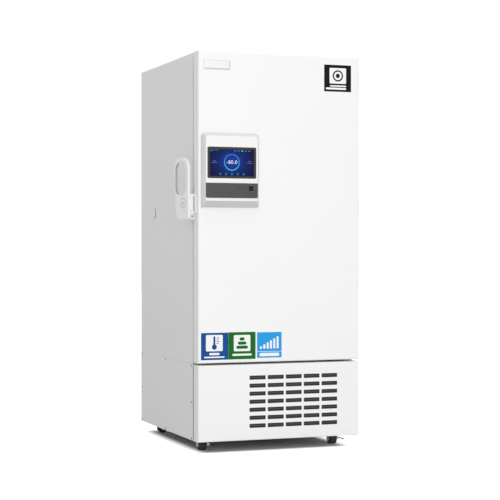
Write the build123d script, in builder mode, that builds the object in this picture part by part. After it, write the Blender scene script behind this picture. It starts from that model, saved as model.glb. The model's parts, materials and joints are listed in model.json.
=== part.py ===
from build123d import *
import os
from math import cos, radians, sin

os.makedirs("parts", exist_ok=True)

# An upright ultra low temperature freezer on four casters. Sizes are in millimetres.
# X runs across the front, -Y is the front, Z is up, and the origin is on the floor under the
# centre of the cabinet.

# Overall size
width = 848
depth = 976
height = 1950
floor_gap = 60
split_height = 435.5
panel_gap = 10
side_seam = 2
door_thickness = 70
gasket_gap = 14

# Sheets and walls
wall = 90
throat_wall = 70
throat_depth = 60
steel = 1.5
cover_sheet = 1.2
tray_sheet = 2
plastic = 3
liner_sheet = 1.2
bend = 4
front_flange = 25
skirt = 24
seat_gap = 0.3
pin_fit = 0.05

# Where the main faces are
side = width / 2
front = -depth / 2
back = depth / 2
door_back = front + door_thickness
cab_front = door_back + gasket_gap
cab_bottom = split_height + side_seam / 2
cover_top = split_height - side_seam / 2
door_bottom = split_height + panel_gap / 2
panel_top = split_height - panel_gap / 2
cab_depth = back - cab_front
cab_height = height - cab_bottom
cab_mid_y = (cab_front + back) / 2
cab_mid_z = (cab_bottom + height) / 2
throat_width = width - 2 * throat_wall
throat_height = cab_height - 2 * throat_wall
step_y = cab_front + throat_depth
liner_front = step_y + plastic
cavity_width = width - 2 * wall
cavity_height = cab_height - 2 * wall
cavity_back = back - wall
cavity_bottom = cab_bottom + wall


def front_plane(y):
    """A plane facing the front, with X to the right and Z up."""
    return Plane.XZ.offset(-y)


def side_plane(x):
    """A plane facing +X, with its own x along Y and its own y up."""
    return Plane.YZ.offset(x)


def ring(across, up, border):
    """A rectangular frame of one border width, drawn in the sketch that is open."""
    Rectangle(across, up)
    Rectangle(across - 2 * border, up - 2 * border, mode=Mode.SUBTRACT)


def keep(piece, name):
    """Label a finished piece and write it."""
    piece.label = name
    export_step(piece, f"parts/{name}.step")


# Base tray and corner posts
tray_edge = 40
tray_top = floor_gap + tray_sheet
tray_width = width - 2 * cover_sheet
tray_depth = cab_depth - 2 * cover_sheet
post_leg = 34
post_sheet = 2.5
post_x = tray_width / 2 - tray_sheet
post_front = cab_front + cover_sheet + tray_sheet
post_back = back - cover_sheet - tray_sheet

# Screws that hold the covers, in the rows that the side view shows
screw_head = 4
screw_shank = 2
screw_proud = 1.6
screw_length = 7
screw_low = floor_gap + 9
screw_middle = 246
screw_high = cover_top - 10.5
screw_rows_y = {
    post_front + post_leg / 2: (screw_low, screw_middle, screw_high),
    43: (screw_low, screw_high),
    post_back - post_leg / 2 - 3: (screw_low, screw_middle, screw_high),
}
side_screws = [(y, z) for y, levels in screw_rows_y.items() for z in levels]
rear_screw_x = post_x - post_leg / 2
rear_screws = [(x, z) for x in (-rear_screw_x, rear_screw_x) for z in (screw_middle, screw_high)]
with BuildPart() as cover_screws:
    for hand in (-1, 1):
        with BuildSketch(side_plane(hand * side)):
            with Locations(*side_screws):
                Circle(screw_head)
        extrude(amount=hand * screw_proud)
        with BuildSketch(side_plane(hand * side)):
            with Locations(*side_screws):
                Circle(screw_shank)
        extrude(amount=-hand * screw_length)
    with BuildSketch(front_plane(back)):
        with Locations(*rear_screws):
            Circle(screw_head)
    extrude(amount=-screw_proud)
    with BuildSketch(front_plane(back)):
        with Locations(*rear_screws):
            Circle(screw_shank)
    extrude(amount=screw_length)
keep(cover_screws.part, "cover_screws")

# Access port through the left wall
port_y = 246
port_z = 1181
port_bore = 19
port_sleeve = 23
port_flange = 25
port_cap = 27.5

# The outer shell of the cabinet, folded from painted steel, open at the front
with BuildPart() as cabinet_shell:
    with BuildSketch(front_plane(cab_front)):
        with Locations((0, cab_mid_z)):
            Rectangle(width, cab_height)
        fillet(vertices().group_by(Axis.Y)[-1], bend)
    extrude(amount=-cab_depth)
    fillet(edges().filter_by(Axis.Z).group_by(Axis.Y)[-1], bend)
    offset(amount=-steel, openings=faces().sort_by(Axis.Y)[0])
    with BuildSketch(front_plane(cab_front)):
        with Locations((0, cab_mid_z)):
            ring(width - 2 * steel, cab_height - 2 * steel, front_flange - steel)
    extrude(amount=-steel)
    with BuildSketch(Plane.XY.offset(cab_bottom)):
        with Locations((0, cab_mid_y)):
            with GridLocations(width - 2 * cover_sheet - steel, 0, 2, 1):
                Rectangle(steel, cab_depth - 2 * front_flange)
    extrude(amount=-skirt)
    with BuildSketch(side_plane(-side)):
        with Locations((port_y, port_z)):
            Circle(port_sleeve)
    extrude(amount=steel, mode=Mode.SUBTRACT)
    add(cover_screws.part, mode=Mode.SUBTRACT)
keep(cabinet_shell.part, "cabinet_shell")

# The cold coil round the liner: bands of flat tube in series, joined at alternate ends
coil_turns = 8
coil_thick = 8
coil_band = 12
coil_front = liner_front + 60
coil_pitch = cavity_height / coil_turns
coil_width = cavity_width + 2 * liner_sheet + 2 * coil_thick
coil_back = cavity_back + liner_sheet + coil_thick
with BuildPart() as evaporator_coil:
    for turn in range(coil_turns):
        coil_z = cavity_bottom + (turn + 0.5) * coil_pitch
        with BuildSketch(Plane.XY.offset(coil_z)):
            with Locations((0, (coil_front + coil_back) / 2)):
                Rectangle(coil_width, coil_back - coil_front)
            fillet(vertices().group_by(Axis.Y)[-1], coil_thick)
            with Locations((0, (coil_front + coil_back) / 2 - coil_thick)):
                Rectangle(coil_width - 2 * coil_thick, coil_back - coil_front, mode=Mode.SUBTRACT)
        extrude(amount=coil_band)
        if turn:
            link_side = 1 if turn % 2 else -1
            with BuildSketch(Plane.XY.offset(coil_z)):
                with Locations((link_side * (coil_width - coil_thick) / 2, coil_front + coil_band / 2)):
                    Rectangle(coil_thick, coil_band)
            extrude(amount=-coil_pitch + coil_band)
keep(evaporator_coil.part, "evaporator_coil")

# Insulating foam between the shell and the liner
with BuildPart() as cabinet_foam:
    with BuildSketch(front_plane(cab_front + plastic)):
        with Locations((0, cab_mid_z)):
            Rectangle(width - 2 * steel, cab_height - 2 * steel)
        fillet(vertices().group_by(Axis.Y)[-1], bend - steel)
    extrude(amount=-(cab_depth - plastic - steel))
    fillet(edges().filter_by(Axis.Z).group_by(Axis.Y)[-1], bend - steel)
    with BuildSketch(front_plane(cab_front)):
        with Locations((0, cab_mid_z)):
            Rectangle(throat_width + 2 * plastic, throat_height + 2 * plastic)
    extrude(amount=-(throat_depth + plastic), mode=Mode.SUBTRACT)
    with BuildSketch(front_plane(cab_front)):
        with Locations((0, cab_mid_z)):
            Rectangle(cavity_width + 2 * liner_sheet, cavity_height + 2 * liner_sheet)
    extrude(amount=-(cavity_back + liner_sheet - cab_front), mode=Mode.SUBTRACT)
    add(evaporator_coil.part, mode=Mode.SUBTRACT)
    with BuildSketch(side_plane(-side)):
        with Locations((port_y, port_z)):
            Circle(port_sleeve)
    extrude(amount=wall, mode=Mode.SUBTRACT)
keep(cabinet_foam.part, "cabinet_foam")

# The inner tank, a five-sided box of thin sheet
with BuildPart() as inner_liner:
    with BuildSketch(front_plane(liner_front)):
        with Locations((0, cab_mid_z)):
            Rectangle(cavity_width + 2 * liner_sheet, cavity_height + 2 * liner_sheet)
    extrude(amount=-(cavity_back + liner_sheet - liner_front))
    offset(amount=-liner_sheet, openings=faces().sort_by(Axis.Y)[0])
    with BuildSketch(side_plane(-side)):
        with Locations((port_y, port_z)):
            Circle(port_sleeve)
    extrude(amount=wall, mode=Mode.SUBTRACT)
keep(inner_liner.part, "inner_liner")

# The plastic throat: a sealing face, the walls that the inner doors stand in, the step that
# they close against, and a crossbar between them
mullion = 40
with BuildPart() as throat_trim:
    with BuildSketch(front_plane(cab_front)):
        with Locations((0, cab_mid_z)):
            ring(width - 2 * front_flange, cab_height - 2 * front_flange, throat_wall - front_flange)
    extrude(amount=-plastic)
    with BuildSketch(front_plane(cab_front)):
        with Locations((0, cab_mid_z)):
            ring(throat_width + 2 * plastic, throat_height + 2 * plastic, plastic)
    extrude(amount=-(throat_depth + plastic))
    with BuildSketch(front_plane(step_y)):
        with Locations((0, cab_mid_z)):
            ring(throat_width + 2 * plastic, throat_height + 2 * plastic, wall - throat_wall + plastic)
            Rectangle(cavity_width, mullion)
    extrude(amount=-plastic)
keep(throat_trim.part, "throat_trim")

# Slotted shelf standards in the four corners of the tank, and the clips that hang in them
standard_width = 22
standard_depth = 8
slot_rows = 20
slot_pitch = cavity_height / slot_rows
slot_width = 12
slot_height = 6
shelf_slots = (5, 10, 15)
shelf_front = liner_front + 6
shelf_back = cavity_back - 14
standard_front = liner_front + 40
standard_back = cavity_back - 50
clip_reach = 16
clip_thick = 3
standard_face = cavity_width / 2 - standard_depth
with BuildPart() as shelf_supports:
    with BuildSketch(Plane.XY.offset(cavity_bottom)):
        with Locations((0, (standard_front + standard_back) / 2)):
            with GridLocations(cavity_width - standard_depth, standard_back - standard_front, 2, 2):
                Rectangle(standard_depth, standard_width)
            across = cavity_width - standard_depth + 2 * steel
            with GridLocations(across, standard_back - standard_front, 2, 2):
                Rectangle(standard_depth, standard_width - 2 * steel, mode=Mode.SUBTRACT)
    extrude(amount=cavity_height)
    with BuildSketch(Plane.YZ):
        with Locations(((standard_front + standard_back) / 2, cab_mid_z)):
            with GridLocations(standard_back - standard_front, slot_pitch, 2, slot_rows - 1):
                Rectangle(slot_width, slot_height)
    extrude(amount=cavity_width / 2, both=True, mode=Mode.SUBTRACT)
    for slot in shelf_slots:
        clip_z = cavity_bottom + slot * slot_pitch - slot_height / 2
        with BuildSketch(Plane.XY.offset(clip_z)):
            for hand in (-1, 1):
                for y in (standard_front, standard_back):
                    with Locations((hand * (standard_face + steel - (clip_reach + steel) / 2), y)):
                        Rectangle(clip_reach + steel, slot_width)
        extrude(amount=clip_thick)
keep(shelf_supports.part, "shelf_supports")

# Three shelves with turned-down edges, resting on the clips
shelf_width = 2 * (standard_face - 2)
shelf_edge = 20
shelf_sheet = 1.5
with BuildPart() as shelves:
    for slot in shelf_slots:
        shelf_top = cavity_bottom + slot * slot_pitch - slot_height / 2 + clip_thick + shelf_sheet
        with BuildSketch(Plane.XY.offset(shelf_top)):
            with Locations((0, (shelf_front + shelf_back) / 2)):
                Rectangle(shelf_width, shelf_back - shelf_front)
        extrude(amount=-shelf_sheet)
        for lip in (shelf_front + shelf_sheet / 2, shelf_back - shelf_sheet / 2):
            with BuildSketch(Plane.XY.offset(shelf_top)):
                with Locations((0, lip)):
                    Rectangle(shelf_width, shelf_sheet)
            extrude(amount=-shelf_edge)
keep(shelves.part, "shelves")

# Hinged inner doors: brackets on the right wall of the throat hold their pins
inner_gap = 4
inner_pin = 3
inner_setback = 16
inner_thick = 36
inner_axis_x = throat_width / 2 - 11
inner_axis_y = cab_front + 20
bracket_sheet = 3
bracket_flange = 1.5
bracket_reach = 26
pin_length = 20
throat_bottom = cab_mid_z - throat_height / 2
throat_top = cab_mid_z + throat_height / 2
inner_split = 3
inner_levels = {
    "lower": (throat_bottom + bracket_sheet + inner_gap, cab_mid_z - bracket_sheet / 2 - inner_split),
    "upper": (cab_mid_z + bracket_sheet / 2 + inner_split, throat_top - bracket_sheet - inner_gap),
}
bracket_levels = {
    throat_bottom: (1,),
    cab_mid_z - bracket_sheet / 2: (-1, 1),
    throat_top - bracket_sheet: (-1,),
}
with BuildPart() as inner_hinges:
    for level, ways in bracket_levels.items():
        with BuildSketch(Plane.XY.offset(level)):
            with Locations((inner_axis_x, inner_axis_y)):
                Circle(inner_pin + 4)
            with Locations((throat_width / 2, inner_axis_y)):
                to_wall = throat_width / 2 - inner_axis_x
                Rectangle(to_wall, 2 * inner_pin + 8, align=(Align.MAX, Align.CENTER))
            with Locations((throat_width / 2, inner_axis_y)):
                Rectangle(bracket_flange, bracket_reach, align=(Align.MAX, Align.CENTER))
        extrude(amount=bracket_sheet)
        for way in ways:
            pin_foot = level + bracket_sheet if way > 0 else level
            with BuildSketch(Plane.XY.offset(pin_foot)):
                with Locations((inner_axis_x, inner_axis_y)):
                    Circle(inner_pin)
            extrude(amount=way * pin_length)
keep(inner_hinges.part, "inner_hinges")

# Each inner door is a foam-filled moulding with a raised border and a pull near its free edge
inner_left = -throat_width / 2 + inner_gap
inner_right = throat_width / 2 - inner_gap
inner_width = inner_right - inner_left
inner_mid_x = (inner_left + inner_right) / 2
inner_front = cab_front + inner_setback
inner_back = inner_front + inner_thick
inner_border = 34
inner_dish = 5
inner_gasket_width = 14
for name, (low, high) in inner_levels.items():
    mid = (low + high) / 2
    tall = high - low
    with BuildPart() as inner_door:
        with BuildSketch(front_plane(inner_back)):
            with Locations((inner_mid_x, mid)):
                RectangleRounded(inner_width, tall, bend)
        extrude(amount=inner_thick)
        with BuildSketch(front_plane(inner_front)):
            with Locations((inner_mid_x, mid)):
                RectangleRounded(inner_width - 2 * inner_border, tall - 2 * inner_border, 3 * bend)
        extrude(amount=-inner_dish, mode=Mode.SUBTRACT)
        with BuildSketch(front_plane(inner_front + inner_dish)):
            with Locations((inner_left + inner_border + 26, mid)):
                SlotOverall(150, 26, rotation=90)
                SlotOverall(136, 12, rotation=90, mode=Mode.SUBTRACT)
        extrude(amount=inner_dish + 5)
        with Locations((inner_axis_x, inner_axis_y, mid)):
            Cylinder(inner_pin + pin_fit, tall, mode=Mode.SUBTRACT)
    keep(inner_door.part, f"inner_door_{name}")

    with BuildPart() as inner_gasket:
        with BuildSketch(front_plane(inner_back)):
            with Locations(((inner_left + inner_axis_x) / 2, mid)):
                ring(inner_axis_x - inner_left - 1, tall - 2, inner_gasket_width)
        extrude(amount=-(step_y - inner_back - seat_gap))
    keep(inner_gasket.part, f"inner_gasket_{name}")

# The tube that lines the access port, flanged on both faces of the wall
with BuildPart() as access_port_sleeve:
    with BuildSketch(side_plane(-side - 2)):
        with Locations((port_y, port_z)):
            Circle(port_flange)
    extrude(amount=2)
    with BuildSketch(side_plane(-side)):
        with Locations((port_y, port_z)):
            Circle(port_sleeve)
    extrude(amount=wall)
    with BuildSketch(side_plane(-side - 2)):
        with Locations((port_y, port_z)):
            Circle(port_bore)
    extrude(amount=wall + 2, mode=Mode.SUBTRACT)
keep(access_port_sleeve.part, "access_port_sleeve")

# The stopper in the port: a tapered plug and the round cap that shows outside
with BuildPart() as port_plug:
    with BuildSketch(side_plane(-side - 2 - seat_gap)):
        with Locations((port_y, port_z)):
            Circle(port_cap)
    extrude(amount=-6)
    fillet(edges().group_by(Axis.X)[0], 2)
    with BuildSketch(side_plane(-side - 2 - seat_gap)):
        with Locations((port_y, port_z)):
            Circle(port_bore - seat_gap)
    extrude(amount=wall - 6, taper=0.6)
keep(port_plug.part, "port_plug")

# The base tray: a plate with turned-up edges that the covers screw to
with BuildPart() as base_tray:
    with BuildSketch(Plane.XY.offset(floor_gap)):
        with Locations((0, cab_mid_y)):
            Rectangle(tray_width, tray_depth)
    extrude(amount=tray_edge)
    offset(amount=-tray_sheet, openings=faces().sort_by(Axis.Z)[-1])
    add(cover_screws.part, mode=Mode.SUBTRACT)
keep(base_tray.part, "base_tray")

# Corner posts of folded angle between the tray and the cabinet, and the arms of the front
# panel's hinge, which reach forward round the sweep of the panel's edge
panel_axis_x = side - 30
panel_axis_y = door_back - 30
panel_pin = 3
arm_sheet = 3
arm_width = 16
arm_levels = (104, 398)
with BuildPart() as corner_posts:
    for hand in (-1, 1):
        for y, into in ((post_front, 1), (post_back, -1)):
            with BuildSketch(Plane.XY.offset(tray_top)):
                with BuildLine():
                    Polyline(
                        (hand * post_x, y),
                        (hand * (post_x - post_leg), y),
                        (hand * (post_x - post_leg), y + into * post_sheet),
                        (hand * (post_x - post_sheet), y + into * post_sheet),
                        (hand * (post_x - post_sheet), y + into * post_leg),
                        (hand * post_x, y + into * post_leg),
                        close=True,
                    )
                make_face()
            extrude(amount=cab_bottom - tray_top)
    arm_back = post_front + post_leg / 2
    arm_left = panel_axis_x - 50
    for level in arm_levels:
        with BuildSketch(Plane.XY.offset(level)):
            with BuildLine():
                Polyline(
                    (post_x - post_sheet / 2, post_front + post_sheet / 2),
                    (post_x - post_sheet / 2, arm_back),
                    (arm_left, arm_back),
                    (arm_left, panel_axis_y - arm_width / 2),
                    (panel_axis_x, panel_axis_y - arm_width / 2),
                    (panel_axis_x, panel_axis_y + arm_width / 2),
                    (arm_left + arm_width, panel_axis_y + arm_width / 2),
                    (arm_left + arm_width, post_front + post_sheet / 2),
                    close=True,
                )
            make_face()
            with Locations((panel_axis_x, panel_axis_y)):
                Circle(arm_width / 2)
        extrude(amount=arm_sheet)
        with BuildSketch(Plane.XY.offset(level + arm_sheet)):
            with Locations((panel_axis_x, panel_axis_y)):
                Circle(panel_pin)
        extrude(amount=2 * arm_sheet + 2)
    add(cover_screws.part, mode=Mode.SUBTRACT)
keep(corner_posts.part, "corner_posts")

# Side covers of the machine compartment, folded round the front corner
cover_return = 20
for name, hand in (("left", -1), ("right", 1)):
    with BuildPart() as side_cover:
        with BuildSketch(Plane.XY.offset(floor_gap)):
            with Locations((hand * (side - cover_sheet / 2), cab_mid_y)):
                Rectangle(cover_sheet, cab_depth)
            with Locations((hand * (side - cover_return / 2), cab_front + cover_sheet / 2)):
                Rectangle(cover_return, cover_sheet)
        extrude(amount=cover_top - floor_gap)
        add(cover_screws.part, mode=Mode.SUBTRACT)
    keep(side_cover.part, f"side_cover_{name}")

# The electrical box stands in the rear right corner, with its inlet and switch through the cover
box_x = 286
box_width = 190
box_depth = 130
box_height = 200
box_bottom = tray_top
inlet_z = box_bottom + 70
inlet_window = (112, 46)
inlet_pocket = (27, 20)
inlet_shift = -26
rocker_shift = 30
rocker_size = (15, 24)
rocker_pocket = 14

# Rear cover with rows of vents and a window for the electrical inlet
vent_size = (110, 9)
vent_pitch = (135, 22)
vent_count = (5, 7)
vent_z = 325
with BuildPart() as rear_cover:
    with BuildSketch(front_plane(back)):
        with Locations((0, (floor_gap + cover_top) / 2)):
            Rectangle(width - 2 * cover_sheet, cover_top - floor_gap)
        with Locations((0, vent_z)):
            with GridLocations(*vent_pitch, *vent_count):
                SlotOverall(*vent_size, mode=Mode.SUBTRACT)
        with Locations((box_x, inlet_z)):
            Rectangle(*inlet_window, mode=Mode.SUBTRACT)
    extrude(amount=cover_sheet)
    add(cover_screws.part, mode=Mode.SUBTRACT)
keep(rear_cover.part, "rear_cover")

box_back = back - cover_sheet
with BuildPart() as control_box:
    with BuildSketch(Plane.XY.offset(box_bottom)):
        with Locations((box_x, box_back - tray_sheet - box_depth / 2)):
            Rectangle(box_width, box_depth)
    extrude(amount=box_height)
    fillet(edges().filter_by(Axis.Z), 3)
    with BuildSketch(Plane.XY.offset(box_bottom + box_height)):
        with Locations((box_x, box_back - tray_sheet - box_depth / 2)):
            RectangleRounded(box_width + 4, box_depth, 3)
    extrude(amount=8)
    with BuildSketch(front_plane(box_back - tray_sheet)):
        with Locations((box_x, inlet_z)):
            Rectangle(inlet_window[0] - 1, inlet_window[1] - 1)
    extrude(amount=-(tray_sheet + cover_sheet))
    with BuildSketch(front_plane(back)):
        with Locations((box_x + inlet_shift, inlet_z)):
            RectangleRounded(*inlet_pocket, 3)
        with Locations((box_x + inlet_shift, inlet_z)):
            with GridLocations(7, 0, 3, 1):
                Rectangle(2, 7, mode=Mode.SUBTRACT)
        with Locations((box_x + rocker_shift, inlet_z)):
            Rectangle(*rocker_size)
    extrude(amount=rocker_pocket, mode=Mode.SUBTRACT)
    with BuildSketch(side_plane(box_x + rocker_shift - rocker_size[0] / 2)):
        with Locations((back - 5, inlet_z)):
            Circle(1.5)
    extrude(amount=rocker_size[0])
keep(control_box.part, "control_box")

# The main switch: a rocker on a pin, standing proud on its upper half when it is on
rocker_pin = 1.5
rocker_axis_y = back - 5
with BuildPart() as rocker_switch:
    with BuildSketch(side_plane(box_x + rocker_shift - rocker_size[0] / 2 + seat_gap)):
        with BuildLine():
            Polyline(
                (back + 4, inlet_z + rocker_size[1] / 2 - 1.5),
                (back - 9, inlet_z + rocker_size[1] / 2 - 3.5),
                (back - 9, inlet_z - rocker_size[1] / 2 + 3.5),
                (back - 2, inlet_z - rocker_size[1] / 2 + 1.5),
                (back - 0.5, inlet_z),
                close=True,
            )
        make_face()
        with Locations((rocker_axis_y, inlet_z)):
            Circle(rocker_pin + pin_fit, mode=Mode.SUBTRACT)
    extrude(amount=rocker_size[0] - 2 * seat_gap)
keep(rocker_switch.part, "rocker_switch")

# Stubs of the cold circuit, which all its vessels carry
stub = 5
stub_length = 26
header_stub = 4
liquid_z = tray_top + 88

# Condenser behind the grille: flat tubes and upright fins between two headers
grille_x = 73
grille_z = 247.6
grille_columns = 5
grille_rows = 7
grille_pitch = (95.5, 39.2)
slot_size = (84.5, 20)
slot_corner = 3
condenser_width = 476
condenser_height = 270
condenser_front = cab_front + 8
condenser_thick = 40
header = 10
flat_tubes = 9
fin_count = 22
fin_sheet = 0.8
with BuildPart() as condenser:
    with BuildSketch(Plane.XY.offset(grille_z - condenser_height / 2)):
        with Locations((grille_x, condenser_front + condenser_thick / 2)):
            with GridLocations(condenser_width - 2 * header, 0, 2, 1):
                Circle(header)
    extrude(amount=condenser_height)
    with BuildSketch(side_plane(grille_x - condenser_width / 2 + header)):
        with Locations((condenser_front + condenser_thick / 2, grille_z)):
            with GridLocations(0, (condenser_height - 20) / (flat_tubes - 1), 1, flat_tubes):
                Rectangle(condenser_thick - 8, 3)
    extrude(amount=condenser_width - 2 * header)
    with BuildSketch(Plane.XY.offset(grille_z - condenser_height / 2 + 10)):
        with Locations((grille_x, condenser_front + condenser_thick / 2)):
            with GridLocations((condenser_width - 4 * header) / (fin_count - 1), 0, fin_count, 1):
                Rectangle(fin_sheet, condenser_thick - 8)
    extrude(amount=condenser_height - 20)
    with BuildSketch(Plane.XY.offset(tray_top)):
        with Locations((grille_x, condenser_front + condenser_thick / 2)):
            with GridLocations(condenser_width - 2 * header, 0, 2, 1):
                Rectangle(header, condenser_thick)
    extrude(amount=grille_z - condenser_height / 2 - tray_top)
    with BuildSketch(side_plane(grille_x + condenser_width / 2 - header)):
        with Locations((condenser_front + condenser_thick / 2, liquid_z)):
            Circle(stub)
    extrude(amount=header + header_stub)
keep(condenser.part, "condenser")

# The duct behind the condenser, with the fan's round opening in its back
fan_radius = 112
fan_tip_gap = 5
duct_front = condenser_front + condenser_thick
duct_depth = 46
duct_back = duct_front + duct_depth
with BuildPart() as fan_shroud:
    with BuildSketch(front_plane(duct_back)):
        with Locations((grille_x, grille_z)):
            Rectangle(condenser_width, condenser_height)
    extrude(amount=duct_depth)
    offset(amount=-cover_sheet, openings=faces().sort_by(Axis.Y)[0])
    with BuildSketch(front_plane(duct_back + 14)):
        with Locations((grille_x, grille_z)):
            Circle(fan_radius + fan_tip_gap + cover_sheet)
    extrude(amount=14)
    with BuildSketch(front_plane(duct_back + 14)):
        with Locations((grille_x, grille_z)):
            Circle(fan_radius + fan_tip_gap)
    extrude(amount=14 + 2 * cover_sheet, mode=Mode.SUBTRACT)
    with BuildSketch(Plane.XY.offset(tray_top)):
        with Locations((grille_x, duct_back - cover_sheet / 2)):
            Rectangle(condenser_width, cover_sheet)
    extrude(amount=grille_z - condenser_height / 2 - tray_top)
keep(fan_shroud.part, "fan_shroud")

# Fan motor on a four-armed bracket, and the five-bladed rotor that turns on its shaft
shaft = 4
hub_radius = 30
hub_front = duct_back - 20
hub_back = duct_back + 12
bracket_y = duct_back + 18
motor_radius = 36
motor_length = 62
arm_span = fan_radius + fan_tip_gap + 16
with BuildPart() as fan_motor:
    with BuildSketch(front_plane(bracket_y + 3)):
        with Locations((grille_x, grille_z)):
            Rectangle(2 * arm_span, 12)
            Rectangle(12, 2 * arm_span)
            Circle(motor_radius)
    extrude(amount=3)
    with BuildSketch(front_plane(bracket_y)):
        with Locations((grille_x, grille_z)):
            with GridLocations(2 * arm_span - 3, 0, 2, 1):
                Rectangle(3, 12)
            with GridLocations(0, 2 * arm_span - 3, 1, 2):
                Rectangle(12, 3)
    extrude(amount=bracket_y - duct_back)
    with BuildSketch(front_plane(bracket_y + 3)):
        with Locations((grille_x, grille_z)):
            Circle(motor_radius)
    extrude(amount=-motor_length)
    fillet(edges().group_by(Axis.Y)[-1], 8)
    with BuildSketch(front_plane(bracket_y)):
        with Locations((grille_x, grille_z)):
            Circle(shaft + pin_fit)
    extrude(amount=-motor_length + 12, mode=Mode.SUBTRACT)
keep(fan_motor.part, "fan_motor")

blade_count = 5
blade_sheet = 2.5
blade_root = (34, 44)
blade_tip = (60, 24)
with BuildPart() as fan_rotor:
    with BuildSketch(front_plane(hub_back)):
        with Locations((grille_x, grille_z)):
            Circle(hub_radius)
    extrude(amount=hub_back - hub_front)
    fillet(edges().group_by(Axis.Y)[0], 6)
    for blade in range(blade_count):
        turn = 360 * blade / blade_count
        out = Vector(cos(radians(turn)), 0, sin(radians(turn)))
        middle = Vector(grille_x, (hub_front + hub_back) / 2, grille_z)
        across = out.cross(Vector(0, 1, 0))
        for reach, (chord, pitch) in ((hub_radius - 4, blade_root), (fan_radius, blade_tip)):
            tilt = across * cos(radians(pitch)) + Vector(0, 1, 0) * sin(radians(pitch))
            with BuildSketch(Plane(origin=middle + out * reach, x_dir=tilt, z_dir=out)):
                RectangleRounded(chord, blade_sheet, blade_sheet / 2 - 0.1)
        loft()
    with BuildSketch(front_plane(hub_back)):
        with Locations((grille_x, grille_z)):
            Circle(shaft)
    extrude(amount=-(bracket_y - hub_back + motor_length - 18))
keep(fan_rotor.part, "fan_rotor")

# Two hermetic compressors: a deep-drawn shell on a foot plate, with a terminal box and stubs
compressor_radius = 88
compressor_height = 212
foot_gap = 20
foot_plate = 4
foot_span = (190, 150)
foot_hole = 6
compressor_spots = {"high": (-170, 60), "low": (110, 60)}
compressor_base = tray_top + foot_gap
compressor_top = compressor_base + foot_plate + compressor_height
discharge_z = compressor_base + 60
suction_z = compressor_base + 150
for stage, (x, y) in compressor_spots.items():
    with BuildPart() as compressor:
        with BuildSketch(Plane.XY.offset(compressor_base)):
            with Locations((x, y)):
                RectangleRounded(foot_span[0] + 40, foot_span[1] + 40, 20)
                with GridLocations(*foot_span, 2, 2):
                    Circle(foot_hole, mode=Mode.SUBTRACT)
        extrude(amount=foot_plate)
        with BuildSketch(Plane.XY.offset(compressor_base + foot_plate)):
            with Locations((x, y)):
                Circle(compressor_radius)
        extrude(amount=compressor_height)
        fillet(edges().group_by(Axis.Z)[-1], 46)
        with BuildSketch(Plane.XY.offset(compressor_base + 120)):
            with Locations((x, y)):
                Circle(compressor_radius + 4)
        extrude(amount=5)
        with BuildSketch(side_plane(x)):
            with Locations((y, compressor_base + 92)):
                RectangleRounded(60, 46, 6)
        extrude(amount=-(compressor_radius + 22))
        for level in (discharge_z, suction_z):
            with BuildSketch(front_plane(y)):
                with Locations((x, level)):
                    Circle(stub)
            extrude(amount=-(compressor_radius + stub_length))
    keep(compressor.part, f"compressor_{stage}_stage")

# Rubber mounts under the compressors' feet
mount_radius = 13
with BuildPart() as compressor_mounts:
    with BuildSketch(Plane.XY.offset(tray_top)):
        for x, y in compressor_spots.values():
            with Locations((x, y)):
                with GridLocations(*foot_span, 2, 2):
                    Circle(mount_radius)
    extrude(amount=foot_gap)
    with BuildSketch(Plane.XY.offset(compressor_base)):
        for x, y in compressor_spots.values():
            with Locations((x, y)):
                with GridLocations(*foot_span, 2, 2):
                    Circle(foot_hole - 0.5)
    extrude(amount=foot_plate + 6)
    chamfer(edges().group_by(Axis.Z)[-1], 1.5)
keep(compressor_mounts.part, "compressor_mounts")

# The cascade exchanger in its foam jacket, with the stubs that the lines reach
cascade_spot = (346, 40)
cascade_size = (96, 300)
cascade_height = 320
cascade_left = cascade_spot[0] - cascade_size[0] / 2 - stub_length
cascade_front = cascade_spot[1] - cascade_size[1] / 2 - stub_length
cascade_high = tray_top + 256
cascade_back_stub = cascade_spot[1] + 90
cascade_fore_stub = cascade_spot[1] - 90
with BuildPart() as cascade_exchanger:
    with BuildSketch(Plane.XY.offset(tray_top)):
        with Locations(cascade_spot):
            RectangleRounded(*cascade_size, 16)
    extrude(amount=cascade_height)
    chamfer(edges().group_by(Axis.Z)[-1], 6)
    with BuildSketch(side_plane(cascade_spot[0])):
        with Locations((cascade_back_stub, discharge_z), (cascade_back_stub, cascade_high)):
            Circle(stub)
        with Locations((cascade_fore_stub, cascade_high)):
            Circle(stub)
    extrude(amount=-(cascade_size[0] / 2 + stub_length))
    with BuildSketch(front_plane(cascade_spot[1])):
        with Locations((cascade_spot[0], liquid_z)):
            Circle(stub)
    extrude(amount=cascade_size[1] / 2 + stub_length)
keep(cascade_exchanger.part, "cascade_exchanger")

# Oil separator and expansion tank: upright steel bottles with domed ends
bottle_foot = 12
oil_x, oil_y, oil_radius, oil_height = -330, 150, 38, 210
tank_x, tank_y, tank_radius, tank_height = -320, back - 138, 72, 260
oil_top = tray_top + bottle_foot + oil_height + stub_length
tank_top = tray_top + bottle_foot + tank_height + stub_length
bottles = {
    "oil_separator": (oil_x, oil_y, oil_radius, oil_height),
    "expansion_tank": (tank_x, tank_y, tank_radius, tank_height),
}
for name, (x, y, radius, tall) in bottles.items():
    with BuildPart() as bottle:
        with BuildSketch(Plane.XY.offset(tray_top + bottle_foot)):
            with Locations((x, y)):
                Circle(radius)
        extrude(amount=tall)
        fillet(edges().group_by(Axis.Z)[-1], radius / 2)
        with BuildSketch(Plane.XY.offset(tray_top)):
            with Locations((x, y)):
                Circle(radius - 6)
        extrude(amount=bottle_foot)
        with BuildSketch(Plane.XY.offset(tray_top + bottle_foot + tall / 2)):
            with Locations((x, y)):
                Circle(stub)
        extrude(amount=tall / 2 + stub_length)
        if name == "oil_separator":
            with BuildSketch(front_plane(y)):
                with Locations((x, discharge_z)):
                    Circle(stub)
            extrude(amount=-(radius + stub_length))
    keep(bottle.part, name)

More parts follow.
